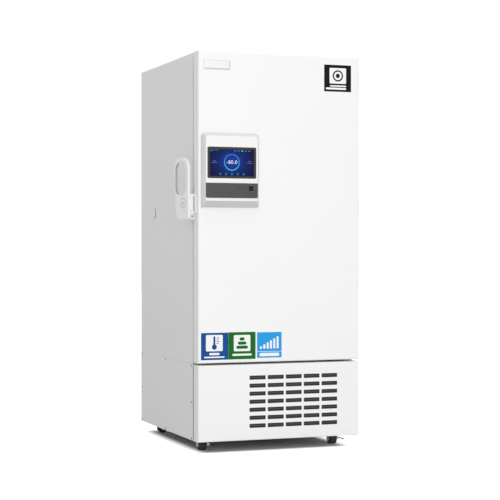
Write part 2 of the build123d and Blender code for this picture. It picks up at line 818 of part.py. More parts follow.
# Refrigerant lines between the stubs, in straight runs and bends, with a filter drier in line
line = 4.5
line_bend = 20
drier_radius = 20
drier_length = 100
stub_back = compressor_spots["high"][1] + compressor_radius + stub_length
high_x = compressor_spots["high"][0]
low_x = compressor_spots["low"][0]
header_left = grille_x - condenser_width / 2 + header
header_right = grille_x + condenser_width / 2 + header_stub
header_y = condenser_front + condenser_thick / 2
header_top = grille_z + condenser_height / 2
over = header_top + 28
riser_x = cascade_left - 34
routes = (
    [
        (high_x, stub_back, discharge_z),
        (high_x, stub_back + 76, discharge_z),
        (oil_x, stub_back + 76, discharge_z),
        (oil_x, oil_y + oil_radius + stub_length, discharge_z),
    ],
    [
        (oil_x, oil_y, oil_top),
        (oil_x, oil_y, over),
        (oil_x, header_y, over),
        (header_left, header_y, over),
        (header_left, header_y, header_top),
    ],
    [
        (low_x, stub_back, discharge_z),
        (low_x, stub_back + 45, discharge_z),
        (riser_x, stub_back + 45, discharge_z),
        (riser_x, cascade_back_stub, discharge_z),
        (cascade_left, cascade_back_stub, discharge_z),
    ],
    [
        (high_x, stub_back, suction_z),
        (high_x, stub_back + 62, suction_z),
        (high_x + 130, stub_back + 62, suction_z),
        (high_x + 130, stub_back + 62, cascade_high),
        (riser_x, stub_back + 62, cascade_high),
        (riser_x, cascade_back_stub, cascade_high),
        (cascade_left, cascade_back_stub, cascade_high),
    ],
    [
        (low_x, stub_back, suction_z),
        (low_x, stub_back + 120, suction_z),
        (low_x, stub_back + 120, cab_bottom),
    ],
    [
        (cascade_left, cascade_fore_stub, cascade_high),
        (riser_x, cascade_fore_stub, cascade_high),
        (riser_x, cascade_fore_stub, cab_bottom),
    ],
    [
        (tank_x, tank_y, tank_top),
        (tank_x, tank_y, over),
        (low_x - 60, tank_y, over),
        (low_x - 60, tank_y, cab_bottom),
    ],
    [
        (header_right, header_y, liquid_z),
        (cascade_spot[0], header_y, liquid_z),
        (cascade_spot[0], cascade_front, liquid_z),
    ],
)
with BuildPart() as refrigerant_lines:
    for route in routes:
        start = Vector(*route[0])
        with BuildLine() as path:
            FilletPolyline(*route, radius=line_bend)
        with BuildSketch(Plane(origin=start, z_dir=Vector(*route[1]) - start)):
            Circle(line)
        sweep(path=path.line)
    with BuildSketch(front_plane(cascade_front - 40)):
        with Locations((cascade_spot[0], liquid_z)):
            Circle(drier_radius)
    extrude(amount=drier_length)
keep(refrigerant_lines.part, "refrigerant_lines")

# The outer door: a folded steel skin over foam, closed behind by a moulded liner with a raised
# plug that stands in the throat
door_height = height - door_bottom
door_mid_z = (height + door_bottom) / 2
door_edge = 8
door_flange = 15
plug_gap = 10
plug_proud = 18
plug_width = throat_width - 2 * plug_gap
plug_height = throat_height - 2 * plug_gap
with BuildPart() as door_skin:
    with BuildSketch(front_plane(door_back)):
        with Locations((0, door_mid_z)):
            Rectangle(width, door_height)
    extrude(amount=door_thickness)
    fillet(edges().group_by(Axis.Y)[0], door_edge)
    offset(amount=-steel, openings=faces().sort_by(Axis.Y)[-1])
    with BuildSketch(front_plane(door_back)):
        with Locations((0, door_mid_z)):
            ring(width - 2 * steel, door_height - 2 * steel, door_flange - steel)
    extrude(amount=steel)
keep(door_skin.part, "door_skin")

with BuildPart() as door_liner:
    with BuildSketch(front_plane(door_back)):
        with Locations((0, door_mid_z)):
            Rectangle(width - 2 * door_flange, door_height - 2 * door_flange)
    extrude(amount=plastic)
    with BuildSketch(front_plane(door_back)):
        with Locations((0, cab_mid_z)):
            RectangleRounded(plug_width, plug_height, 3 * bend)
    extrude(amount=-plug_proud)
    fillet(edges().group_by(Axis.Y)[-1], 2 * bend)
    with BuildSketch(front_plane(door_back - plastic)):
        with Locations((0, cab_mid_z)):
            RectangleRounded(plug_width - 2 * plastic, plug_height - 2 * plastic, 2 * bend)
    extrude(amount=-plug_proud, mode=Mode.SUBTRACT)
keep(door_liner.part, "door_liner")

with BuildPart() as door_foam:
    with BuildSketch(front_plane(door_back - plastic)):
        with Locations((0, door_mid_z)):
            Rectangle(width - 2 * steel, door_height - 2 * steel)
    extrude(amount=door_thickness - steel - plastic)
    fillet(edges().group_by(Axis.Y)[0], door_edge - steel)
    with BuildSketch(front_plane(door_back - plastic)):
        with Locations((0, cab_mid_z)):
            RectangleRounded(plug_width - 2 * plastic, plug_height - 2 * plastic, 2 * bend)
    extrude(amount=-plug_proud)
keep(door_foam.part, "door_foam")

# Door gasket: a mounting foot, a narrow bellows and a magnetic sealing bulb
gasket_width = 30
gasket_inset = 20
gasket_foot = 3.5
gasket_bulb = 6
gasket_reach = gasket_gap - seat_gap
gasket_across = width - 2 * gasket_inset
gasket_up = cab_height - 2 * gasket_inset
with BuildPart() as door_gasket:
    with BuildSketch(front_plane(door_back)):
        with Locations((0, cab_mid_z)):
            ring(gasket_across, gasket_up, gasket_width)
    extrude(amount=-gasket_foot)
    with BuildSketch(front_plane(door_back + gasket_foot)):
        with Locations((0, cab_mid_z)):
            ring(gasket_across - 12, gasket_up - 12, gasket_width - 12)
    extrude(amount=-(gasket_reach - gasket_foot - gasket_bulb))
    with BuildSketch(front_plane(door_back + gasket_reach - gasket_bulb)):
        with Locations((0, cab_mid_z)):
            ring(gasket_across, gasket_up, gasket_width)
    extrude(amount=-gasket_bulb)
keep(door_gasket.part, "door_gasket")

# Three door hinges on the right side. Leaves are screwed to the door and to the cabinet, and
# their knuckles share a pin that stands clear of the side
hinge_out = 10
hinge_x = side + hinge_out
hinge_y = (door_back + cab_front) / 2
hinge_inset = 120
hinge_levels = (door_bottom + hinge_inset, (door_bottom + height) / 2, height - hinge_inset)
hinge_knuckle = 8
hinge_pin = 4
hinge_height = 96
hinge_leaf = 4
hinge_reach = 58
hinge_setback = 5
knuckle_gap = 0.5
knuckle = hinge_height / 3
with BuildPart() as door_hinge_leaves:
    for level in hinge_levels:
        with BuildSketch(Plane.XY.offset(level - hinge_height / 2)):
            with Locations((side, door_back - hinge_setback)):
                Rectangle(hinge_leaf, hinge_reach, align=(Align.MIN, Align.MAX))
        extrude(amount=hinge_height)
        with BuildSketch(Plane.XY.offset(level - knuckle / 2 + knuckle_gap)):
            with Locations((hinge_x, hinge_y)):
                Circle(hinge_knuckle)
            with BuildLine():
                Polyline(
                    (side, door_back - hinge_setback - 4),
                    (side, door_back - hinge_setback),
                    (hinge_x, hinge_y),
                    (hinge_x + hinge_knuckle / 2, hinge_y - hinge_knuckle / 2),
                    (side + hinge_leaf, door_back - hinge_setback - 8),
                    close=True,
                )
            make_face()
            with Locations((hinge_x, hinge_y)):
                Circle(hinge_pin + pin_fit, mode=Mode.SUBTRACT)
        extrude(amount=knuckle - 2 * knuckle_gap)
keep(door_hinge_leaves.part, "door_hinge_leaves")

with BuildPart() as cabinet_hinges:
    for level in hinge_levels:
        with BuildSketch(Plane.XY.offset(level - hinge_height / 2)):
            with Locations((side, cab_front + hinge_setback)):
                Rectangle(hinge_leaf, hinge_reach, align=(Align.MIN, Align.MIN))
        extrude(amount=hinge_height)
        for foot in (level - hinge_height / 2, level + knuckle / 2):
            with BuildSketch(Plane.XY.offset(foot)):
                with Locations((hinge_x, hinge_y)):
                    Circle(hinge_knuckle)
                with BuildLine():
                    Polyline(
                        (side, cab_front + hinge_setback + 4),
                        (side, cab_front + hinge_setback),
                        (hinge_x, hinge_y),
                        (hinge_x + hinge_knuckle / 2, hinge_y + hinge_knuckle / 2),
                        (side + hinge_leaf, cab_front + hinge_setback + 8),
                        close=True,
                    )
                make_face()
            extrude(amount=knuckle)
        with BuildSketch(Plane.XY.offset(level - hinge_height / 2)):
            with Locations((hinge_x, hinge_y)):
                Circle(hinge_pin)
        extrude(amount=hinge_height)
keep(cabinet_hinges.part, "cabinet_hinges")

# The display housing on the door: upright walls, then bevels up to a smaller face
display_left = -410
display_width = 292
display_bottom = 1197
display_height = 359
display_proud = 35
display_wall = 18
bevel_side = 13
bevel_top = 16
bevel_bottom = 29
display_round = 22
display_shell = 3.5
display_mid_x = display_left + display_width / 2
face_width = display_width - 2 * bevel_side
face_bottom = display_bottom + bevel_bottom
face_top = display_bottom + display_height - bevel_top
face_height = face_top - face_bottom
face_y = front - display_proud
screen_size = (252, 153)
screen_top = face_top - 53
screen_deep = 2
screen_round = 8


def display_outline(across, bottom, top, round_top):
    """The housing's outline at one level: rounded above, nearly square below."""
    with Locations((display_mid_x, (bottom + top) / 2)):
        Rectangle(across, top - bottom)
    fillet(vertices().group_by(Axis.Y)[-1], round_top)
    fillet(vertices().group_by(Axis.Y)[0], 4)


with BuildPart() as display_housing:
    with BuildSketch(front_plane(front)):
        display_outline(display_width, display_bottom, display_bottom + display_height, display_round)
    extrude(amount=display_wall)
    with BuildSketch(front_plane(front - display_wall)):
        display_outline(display_width, display_bottom, display_bottom + display_height, display_round)
    with BuildSketch(front_plane(face_y)):
        display_outline(face_width, face_bottom, face_top, display_round - 8)
    loft()
    with BuildSketch(front_plane(front)):
        display_outline(
            face_width - 2 * display_shell,
            face_bottom + display_shell,
            face_top - display_shell,
            display_round - 8 - display_shell,
        )
    extrude(amount=display_proud - display_shell - screen_deep, mode=Mode.SUBTRACT)
    with BuildSketch(front_plane(face_y + screen_deep)):
        with Locations((display_mid_x, screen_top - screen_size[1] / 2)):
            RectangleRounded(*screen_size, screen_round)
    extrude(amount=screen_deep, mode=Mode.SUBTRACT)
keep(display_housing.part, "display_housing")

# The touch screen's glass, sunk in the face
screen_fit = 0.4
with BuildPart() as touchscreen:
    with BuildSketch(front_plane(face_y + screen_deep)):
        with Locations((display_mid_x, screen_top - screen_size[1] / 2)):
            RectangleRounded(*screen_size, screen_round)
        offset(amount=-screen_fit, mode=Mode.REPLACE)
    extrude(amount=screen_deep - screen_fit)
keep(touchscreen.part, "touchscreen")

# The dark strip below the screen, with a window for the data port and the pin of its flap
strip_height = 72
strip_bottom = face_bottom + 14
strip_thick = 3
port_window = (22, 28)
port_x = -166
port_bottom = strip_bottom + 34
flap_thick = 2
flap_pin = 0.8
flap_knuckle = 1.8
flap_axis_y = face_y - strip_thick + 0.2
flap_axis_z = port_bottom + port_window[1] - 3
with BuildPart() as port_strip:
    with BuildSketch(front_plane(face_y)):
        with Locations((display_mid_x, strip_bottom + strip_height / 2)):
            Rectangle(face_width, strip_height)
        fillet(vertices().group_by(Axis.Y)[0], 8)
        with Locations((port_x, port_bottom + port_window[1] / 2)):
            Rectangle(*port_window, mode=Mode.SUBTRACT)
    extrude(amount=strip_thick)
    with BuildSketch(side_plane(port_x - port_window[0] / 2)):
        with Locations((flap_axis_y, flap_axis_z)):
            Circle(flap_pin)
    extrude(amount=port_window[0])
keep(port_strip.part, "port_strip")

with BuildPart() as port_cover:
    with BuildSketch(side_plane(port_x - port_window[0] / 2 + 2 * seat_gap)):
        with Locations((flap_axis_y, flap_axis_z)):
            Circle(flap_knuckle)
        with Locations((flap_axis_y - flap_knuckle, flap_axis_z)):
            Rectangle(flap_thick, flap_axis_z - port_bottom - 2 * seat_gap, align=(Align.MIN, Align.MAX))
        with Locations((flap_axis_y, flap_axis_z)):
            Circle(flap_pin + pin_fit, mode=Mode.SUBTRACT)
    extrude(amount=port_window[0] - 4 * seat_gap)
keep(port_cover.part, "port_cover")

# The handle's bracket on the door's side: a base plate, two ears that carry the pivot pin, and a
# plate with a hole for a padlock below them
pivot_x = -side - 17
pivot_y = door_back - 13
pivot_pin = 5
bracket_thick = 5
bracket_front = door_back - 42
bracket_rear = door_back - 4
bracket_bottom = 1166
bracket_top = 1261
ear_thick = 12
ear_round = 11
base_screw = 4
base_screws = (
    ((bracket_front + 8, 1198), 2),
    ((bracket_rear - 6, 1186), 0.4),
    ((bracket_rear - 6, 1241), 0.4),
)
hasp_bottom = 1137
hasp_hole = 7
hasp_left = pivot_x - 7
hasp_thick = 4
with BuildPart() as handle_bracket:
    with BuildSketch(side_plane(-side)):
        with Locations(((bracket_front + bracket_rear) / 2, (bracket_bottom + bracket_top) / 2)):
            RectangleRounded(bracket_rear - bracket_front, bracket_top - bracket_bottom, 5)
    extrude(amount=-bracket_thick)
    for level in (bracket_bottom, bracket_top - ear_thick):
        with BuildSketch(Plane.XY.offset(level)):
            with Locations((pivot_x, pivot_y)):
                Circle(ear_round)
            with BuildLine():
                Polyline(
                    (-side - bracket_thick / 2, pivot_y - ear_round + 1),
                    (pivot_x - 4, pivot_y - ear_round + 1),
                    (pivot_x - 4, pivot_y + ear_round - 1),
                    (-side - bracket_thick / 2, bracket_rear - 1),
                    close=True,
                )
            make_face()
        extrude(amount=ear_thick)
    with BuildSketch(Plane.XY.offset(bracket_bottom)):
        with Locations((pivot_x, pivot_y)):
            Circle(pivot_pin)
    extrude(amount=bracket_top - bracket_bottom)
    for place, proud in base_screws:
        with BuildSketch(side_plane(-side - bracket_thick)):
            with Locations(place):
                Circle(base_screw)
        extrude(amount=-proud)
    with BuildSketch(front_plane(pivot_y + hasp_thick)):
        with BuildLine():
            Polyline(
                (-side, bracket_bottom + 2),
                (hasp_left, bracket_bottom + 2),
                (hasp_left, hasp_bottom + 6),
                (hasp_left + 6, hasp_bottom),
                (-side, hasp_bottom),
                close=True,
            )
        make_face()
        with Locations(((hasp_left - side) / 2, (bracket_bottom + hasp_bottom) / 2)):
            Circle(hasp_hole, mode=Mode.SUBTRACT)
    extrude(amount=hasp_thick)
keep(handle_bracket.part, "handle_bracket")

# The keeper on the cabinet's side: a plate and two lugs with an upright pin between them
keeper_x = -side - 10
keeper_y = cab_front + 20
keeper_pin = 5
keeper_thick = 4
keeper_bottom = 1178
keeper_top = 1254
lug_thick = 6
with BuildPart() as latch_keeper:
    with BuildSketch(side_plane(-side)):
        with Locations((keeper_y + 8, (keeper_bottom + keeper_top) / 2)):
            RectangleRounded(42, keeper_top - keeper_bottom, 5)
    extrude(amount=-keeper_thick)
    for level in (keeper_bottom, keeper_top - lug_thick):
        with BuildSketch(Plane.XY.offset(level)):
            with Locations((keeper_x, keeper_y)):
                Circle(keeper_pin + 3)
            with Locations((-side, keeper_y)):
                Rectangle(-side - keeper_x, 2 * keeper_pin + 4, align=(Align.MAX, Align.CENTER))
        extrude(amount=lug_thick)
    with BuildSketch(Plane.XY.offset(keeper_bottom)):
        with Locations((keeper_x, keeper_y)):
            Circle(keeper_pin)
    extrude(amount=keeper_top - keeper_bottom)
    with BuildSketch(side_plane(-side - keeper_thick)):
        with Locations((keeper_y + 21, keeper_bottom + 14), (keeper_y + 21, keeper_top - 14)):
            Circle(base_screw)
    extrude(amount=-2)
keep(latch_keeper.part, "latch_keeper")

# The handle lever. A long plate stands off the door at an angle, with a rounded finger opening
# above and the lock below. A web joins it to the knuckle on the pivot, and from the knuckle a
# claw reaches back and turns in behind the keeper's pin
lever_tilt = 17
lever_near = 12
lever_thick = 12
lever_bottom = 1136
lever_top = 1438
lever_corners = ((-12, lever_bottom), (97, lever_bottom), (117, lever_top), (-9, lever_top))
lever_rounds = (22, 32, 56, 52)
lever_edge = 4
opening_near = 13
opening_far = 98
opening_bottom = 1252
opening_top = 1419
lock_s = 34
lock_z = 1216
lock_radius = 9
lock_ring = (22, 24)
lock_groove = 1.2
knuckle_round = 11
knuckle_clear = 1
claw_bottom = 1192
claw_top = 1240
claw_out = 10
claw_reach = 65
claw_hook = 10
pin_clear = 0.5
lever_away = Vector(-cos(radians(lever_tilt)), -sin(radians(lever_tilt)), 0)
lever_along = Vector(-sin(radians(lever_tilt)), cos(radians(lever_tilt)), 0)


def lever_plane(off):
    """A plane parallel to the lever, off by this much from the pivot; its x runs back along the
    lever, its y is up, and it faces the freezer."""
    return Plane(origin=Vector(pivot_x, pivot_y, 0) + lever_away * off, x_dir=lever_along, z_dir=-lever_away)


with BuildPart() as handle_lever:
    with BuildSketch(lever_plane(lever_near)):
        with BuildLine():
            Polyline(*lever_corners, close=True)
        make_face()
        for corner, size in zip(lever_corners, lever_rounds):
            fillet(vertices().sort_by_distance(Vector(*corner))[0], size)
        opening_width = opening_far - opening_near
        opening_height = opening_top - opening_bottom
        with Locations(((opening_near + opening_far) / 2, (opening_bottom + opening_top) / 2)):
            SlotOverall(opening_height, opening_width, rotation=90, mode=Mode.SUBTRACT)
    extrude(amount=-lever_thick)
    fillet(faces().sort_by(Axis(origin=(0, 0, 0), direction=tuple(lever_away)))[-1].edges(), lever_edge)
    fillet(faces().sort_by(Axis(origin=(0, 0, 0), direction=tuple(lever_away)))[0].edges(), lever_edge / 2)
    with BuildSketch(lever_plane(lever_near + lever_thick - lock_groove)):
        with Locations((lock_s, lock_z)):
            Circle(lock_ring[1])
            Circle(lock_ring[0], mode=Mode.SUBTRACT)
    extrude(amount=-2 * lock_groove, mode=Mode.SUBTRACT)
    with BuildSketch(Plane.XY.offset(bracket_bottom + ear_thick + knuckle_clear)):
        with Locations((pivot_x, pivot_y)):
            Circle(knuckle_round)
        with Locations(Location((pivot_x, pivot_y, 0), (0, 0, 90 + lever_tilt))):
            with Locations((0, lever_near / 2 + 1)):
                Rectangle(2 * knuckle_round - 2, lever_near + 2)
    extrude(amount=bracket_top - bracket_bottom - 2 * ear_thick - 2 * knuckle_clear)
    with BuildSketch(Plane.XY.offset(claw_bottom)):
        with BuildLine():
            Polyline(
                (pivot_x - claw_out, pivot_y),
                (keeper_x - keeper_pin - pin_clear, pivot_y),
                (keeper_x - keeper_pin - pin_clear, keeper_y + keeper_pin + pin_clear),
                (keeper_x - keeper_pin - pin_clear + claw_hook, keeper_y + keeper_pin + pin_clear),
                (keeper_x - keeper_pin - pin_clear + claw_hook - 3, pivot_y + claw_reach),
                (pivot_x - claw_out + 4, pivot_y + claw_reach),
                (pivot_x - claw_out, pivot_y + claw_reach - 6),
                close=True,
            )
        make_face()
    extrude(amount=claw_top - claw_bottom)
    with BuildSketch(Plane.XY.offset(bracket_bottom)):
        with Locations((pivot_x, pivot_y)):
            Circle(pivot_pin + pin_fit)
    extrude(amount=bracket_top - bracket_bottom, mode=Mode.SUBTRACT)
    with BuildSketch(lever_plane(lever_near - 1)):
        with Locations((lock_s, lock_z)):
            Circle(lock_radius + pin_fit)
    extrude(amount=-lever_thick - 2, mode=Mode.SUBTRACT)
keep(handle_lever.part, "handle_lever")

# The lock cylinder in the lever, with its key slot outside and its cam behind the plate
cam_length = 20
cam_thick = 3
with BuildPart() as lock_cylinder:
    with BuildSketch(lever_plane(lever_near)):
        with Locations((lock_s, lock_z)):
            Circle(lock_radius)
    extrude(amount=-lever_thick - 1)
    with BuildSketch(lever_plane(lever_near + lever_thick + 1)):
        with Locations((lock_s, lock_z)):
            Rectangle(2, 9)
    extrude(amount=4, mode=Mode.SUBTRACT)
    with BuildSketch(lever_plane(lever_near)):
        with Locations((lock_s, lock_z)):
            Circle(lock_radius - 4)
    extrude(amount=1)
    with BuildSketch(lever_plane(lever_near - 1)):
        with Locations((lock_s, lock_z)):
            Circle(lock_radius - 4)
        with Locations((lock_s, lock_z + cam_length / 2)):
            Rectangle(8, cam_length)
    extrude(amount=cam_thick)
keep(lock_cylinder.part, "lock_cylinder")

# The front panel of the machine compartment: a shallow pan with the vents punched through it,
# hung on two ears inside its right wall
ear_clear = 0.5
with BuildPart() as front_panel:
    with BuildSketch(front_plane(door_back)):
        with Locations((0, (panel_top + floor_gap) / 2)):
            Rectangle(width, panel_top - floor_gap)
    extrude(amount=door_thickness)
    fillet(edges().group_by(Axis.Y)[0], door_edge - 2)
    offset(amount=-cover_sheet, openings=faces().sort_by(Axis.Y)[-1])
    with BuildSketch(front_plane(front + cover_sheet)):
        with Locations((grille_x, grille_z)):
            with GridLocations(*grille_pitch, grille_columns, grille_rows):
                RectangleRounded(*slot_size, slot_corner)
    extrude(amount=2 * cover_sheet, mode=Mode.SUBTRACT)
    for level in arm_levels:
        with BuildSketch(Plane.XY.offset(level + arm_sheet + ear_clear)):
            with Locations((panel_axis_x, panel_axis_y)):
                Circle(arm_width / 2)
                Rectangle(side - cover_sheet / 2 - panel_axis_x, arm_width, align=(Align.MIN, Align.CENTER))
                Circle(panel_pin + pin_fit, mode=Mode.SUBTRACT)
        extrude(amount=arm_sheet)
keep(front_panel.part, "front_panel")

# The air filter clipped behind the vents: a frame round a thin pad
filter_size = (496, 284)
filter_border = 9
filter_thick = 10
filter_pad = 3
with BuildPart() as air_filter:
    with BuildSketch(front_plane(front + cover_sheet + filter_thick)):
        with Locations((grille_x, grille_z)):
            ring(*filter_size, filter_border)
    extrude(amount=filter_thick)
    with BuildSketch(front_plane(front + cover_sheet + filter_thick)):
        with Locations((grille_x, grille_z)):
            Rectangle(filter_size[0] - 2 * filter_border, filter_size[1] - 2 * filter_border)
    extrude(amount=filter_pad)
keep(air_filter.part, "air_filter")

# Swivel casters. Each one's own X runs from its kingpin towards its wheel
caster_x = side - 74
caster_front = cab_front + 102
caster_back = back - 78
caster_spots = {
    "front_left": (-caster_x, caster_front, -90),
    "front_right": (caster_x, caster_front, -90),
    "back_left": (-caster_x, caster_back, 0),
    "back_right": (caster_x, caster_back, 0),
}
plate_span = 84
plate_thick = 3.5
race_radius = 24
race_thick = 2.5
king_pin = 4
king_head = 6.5
head_thick = 3
caster_bolt = 33
crown_gap = 0.4
crown_thick = 3
crown_top = floor_gap - plate_thick - race_thick - crown_gap
crown_bottom = crown_top - crown_thick
trail = 20
wheel_radius = 25
wheel_width = 38
fork_inner = 20.5
fork_sheet = 3
axle = 4
axle_head = 6.5


def at(spot, plane):
    """The plane, moved from a caster's own frame to its place under the base."""
    x, y, turn = spot
    return Plane(Location((x, y, 0), (0, 0, turn)) * plane.location)


with BuildPart() as caster_plates:
    for spot in caster_spots.values():
        with BuildSketch(at(spot, Plane.XY.offset(floor_gap - plate_thick))):
            RectangleRounded(plate_span, plate_span, 8)
        extrude(amount=plate_thick)
        with BuildSketch(at(spot, Plane.XY.offset(floor_gap - plate_thick))):
            Circle(race_radius)
        extrude(amount=-race_thick)
        with BuildSketch(at(spot, Plane.XY.offset(floor_gap - plate_thick))):
            Circle(king_pin)
        extrude(amount=-(floor_gap - plate_thick - crown_bottom + crown_gap))
        with BuildSketch(at(spot, Plane.XY.offset(crown_bottom - crown_gap))):
            Circle(king_head)
        extrude(amount=-head_thick)
        with BuildSketch(at(spot, Plane.XY.offset(floor_gap - plate_thick))):
            with GridLocations(2 * caster_bolt, 2 * caster_bolt, 2, 2):
                RegularPolygon(5, 6)
        extrude(amount=-4)
keep(caster_plates.part, "caster_plates")

brake_x = 12
brake_pin = 2
brake_y = 32
brake_z = 31
brake_round = 4.5
lug_reach = 36
for name, spot in caster_spots.items():
    with BuildPart() as fork:
        with BuildSketch(at(spot, Plane.XY.offset(crown_bottom))):
            with Locations((2, 0)):
                RectangleRounded(52, 2 * (fork_inner + fork_sheet), 10)
            Circle(king_pin + pin_fit, mode=Mode.SUBTRACT)
        extrude(amount=crown_thick)
        for hand in (-1, 1):
            leg_face = Plane.XZ.offset(-hand * fork_inner)
            with BuildSketch(at(spot, leg_face)):
                with BuildLine():
                    Polyline(
                        (-13, crown_top),
                        (20, crown_top),
                        (trail + 9, wheel_radius + 5),
                        (trail + 9, wheel_radius - 4),
                        (trail + 4, wheel_radius - 9),
                        (trail - 4, wheel_radius - 9),
                        (trail - 9, wheel_radius - 4),
                        close=True,
                    )
                make_face()
            extrude(amount=-hand * fork_sheet)
        with BuildSketch(at(spot, Plane.XZ.offset(-(fork_inner + fork_sheet)))):
            with Locations((trail, wheel_radius)):
                Circle(axle)
        extrude(amount=2 * (fork_inner + fork_sheet))
        for hand in (-1, 1):
            with BuildSketch(at(spot, Plane.XZ.offset(-hand * (fork_inner + fork_sheet)))):
                with Locations((trail, wheel_radius)):
                    RegularPolygon(axle_head, 6)
            extrude(amount=-hand * head_thick)
        if name.startswith("front"):
            for way in (-1, 1):
                with BuildSketch(at(spot, Plane.YZ.offset(trail + way * brake_x))):
                    with BuildLine():
                        Polyline(
                            (fork_inner + fork_sheet / 2, brake_z - 9),
                            (lug_reach, brake_z - 4),
                            (lug_reach, brake_z + 4),
                            (fork_inner + fork_sheet / 2, brake_z + 7),
                            close=True,
                        )
                    make_face()
                extrude(amount=way * fork_sheet)
            with BuildSketch(at(spot, Plane.YZ.offset(trail - brake_x))):
                with Locations((brake_y, brake_z)):
                    Circle(brake_pin)
            extrude(amount=2 * brake_x)
    keep(fork.part, f"caster_fork_{name}")

    with BuildPart() as wheel:
        with BuildSketch(at(spot, Plane.YZ.offset(trail))):
            with BuildLine():
                Polyline(
                    (-wheel_width / 2 - 1, wheel_radius + axle + pin_fit),
                    (-wheel_width / 2 - 1, wheel_radius + 9),
                    (-wheel_width / 2 + 3, wheel_radius + 10),
                    (-wheel_width / 2 + 3, wheel_radius + 17),
                    (-wheel_width / 2, wheel_radius + 18),
                    (-wheel_width / 2, 2 * wheel_radius - 4),
                    (-wheel_width / 2 + 4, 2 * wheel_radius),
                    (wheel_width / 2 - 4, 2 * wheel_radius),
                    (wheel_width / 2, 2 * wheel_radius - 4),
                    (wheel_width / 2, wheel_radius + 18),
                    (wheel_width / 2 - 3, wheel_radius + 17),
                    (wheel_width / 2 - 3, wheel_radius + 10),
                    (wheel_width / 2 + 1, wheel_radius + 9),
                    (wheel_width / 2 + 1, wheel_radius + axle + pin_fit),
                    close=True,
                )
            make_face()
        base = at(spot, Plane.XY)
        revolve(axis=Axis(base.from_local_coords((trail, 0, wheel_radius)), base.y_dir))
    keep(wheel.part, f"caster_wheel_{name}")

# Brake levers of the front casters: a barrel on the fork's pin and a tongue that slopes down
brake_tip = 66
brake_low = 19
brake_width = 22
for name in ("front_left", "front_right"):
    spot = caster_spots[name]
    with BuildPart() as brake:
        with BuildSketch(at(spot, Plane.YZ.offset(trail - brake_width / 2))):
            with Locations((brake_y, brake_z)):
                Circle(brake_round)
            with BuildLine():
                Polyline(
                    (brake_y, brake_z + brake_round - 0.2),
                    (brake_tip - 4, brake_low + 5),
                    (brake_tip, brake_low + 2),
                    (brake_tip - 1, brake_low),
                    (brake_tip - 5, brake_low),
                    (brake_y, brake_z - 0.2),
                    close=True,
                )
            make_face()
            with Locations((brake_y, brake_z)):
                Circle(brake_pin + pin_fit, mode=Mode.SUBTRACT)
        extrude(amount=brake_width)
    keep(brake.part, f"brake_lever_{name}")
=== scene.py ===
# %% [markdown]
# # An upright laboratory freezer
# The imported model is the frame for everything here. Its pieces already stand in the right places,
# in metres, so this lesson gives each one its finish and adds the thin things that a solid model
# leaves out: labels, a badge, the picture on the screen, a lip, rings, ribs and a strip of foam.

# %% Load the frame
import json
from math import cos, pi, radians, sin

import bmesh
import bpy
from mathutils import Matrix, Vector


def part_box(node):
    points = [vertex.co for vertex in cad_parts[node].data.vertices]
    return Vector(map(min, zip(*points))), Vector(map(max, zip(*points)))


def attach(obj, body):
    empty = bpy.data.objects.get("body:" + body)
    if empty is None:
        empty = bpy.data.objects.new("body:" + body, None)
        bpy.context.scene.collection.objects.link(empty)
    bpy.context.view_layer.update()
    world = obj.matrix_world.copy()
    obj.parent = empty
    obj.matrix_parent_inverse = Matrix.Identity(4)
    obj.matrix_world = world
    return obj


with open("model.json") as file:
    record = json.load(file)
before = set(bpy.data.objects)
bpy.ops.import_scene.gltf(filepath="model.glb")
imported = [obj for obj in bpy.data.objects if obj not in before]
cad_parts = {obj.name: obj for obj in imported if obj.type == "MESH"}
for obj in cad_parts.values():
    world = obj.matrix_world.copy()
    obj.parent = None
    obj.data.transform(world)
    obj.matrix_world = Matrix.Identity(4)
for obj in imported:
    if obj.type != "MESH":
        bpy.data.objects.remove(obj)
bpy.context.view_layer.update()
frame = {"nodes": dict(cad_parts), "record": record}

# %% [markdown]
# The camera comes first. It was found by matching the freezer's corners in the photograph: a long
# lens from about seven metres, level, turned so that the left side shows. A level camera keeps
# upright edges upright, and a small lens shift takes the place of tilting it.

# %% Camera
heading = -20.484
camera_data = bpy.data.cameras.new("camera")
camera_data.lens = 106.16
camera_data.sensor_width = 36
camera_data.shift_y = -0.0072
camera_data.clip_end = 60
camera = bpy.data.objects.new("camera", camera_data)
camera.location = (-2.6756, -7.2279, 1.0062)
camera.rotation_euler = (radians(90), 0, radians(heading))
bpy.context.scene.collection.objects.link(camera)
bpy.context.scene.camera = camera
bpy.context.scene.view_settings.view_transform = "Standard"
print("camera lens", camera_data.lens, "mm, turned", heading, "degrees")

# %% [markdown]
# Colours are easiest to read as the 0 to 255 numbers of a screen, while shaders work in linear
# light, so one small function turns the first into the second.

# %% Colours
def paint(red, green, blue):
    """Linear colour from screen numbers between 0 and 255."""
    tones = []
    for value in (red, green, blue):
        value = value / 255
        tones.append(value / 12.92 if value <= 0.04045 else ((value + 0.055) / 1.055) ** 2.4)
    return tuple(tones)


print("a screen grey of 128 is", round(paint(128, 128, 128)[0], 3), "in linear light")

# %% [markdown]
# A white studio could be lit by many lamps. Here a bright, even world gives the base light, so a
# few nodes do for most of it. The camera, the glass and mirror-like reflections see a pure white
# world, while the light that falls on the freezer is weaker, so white paint keeps its tone.

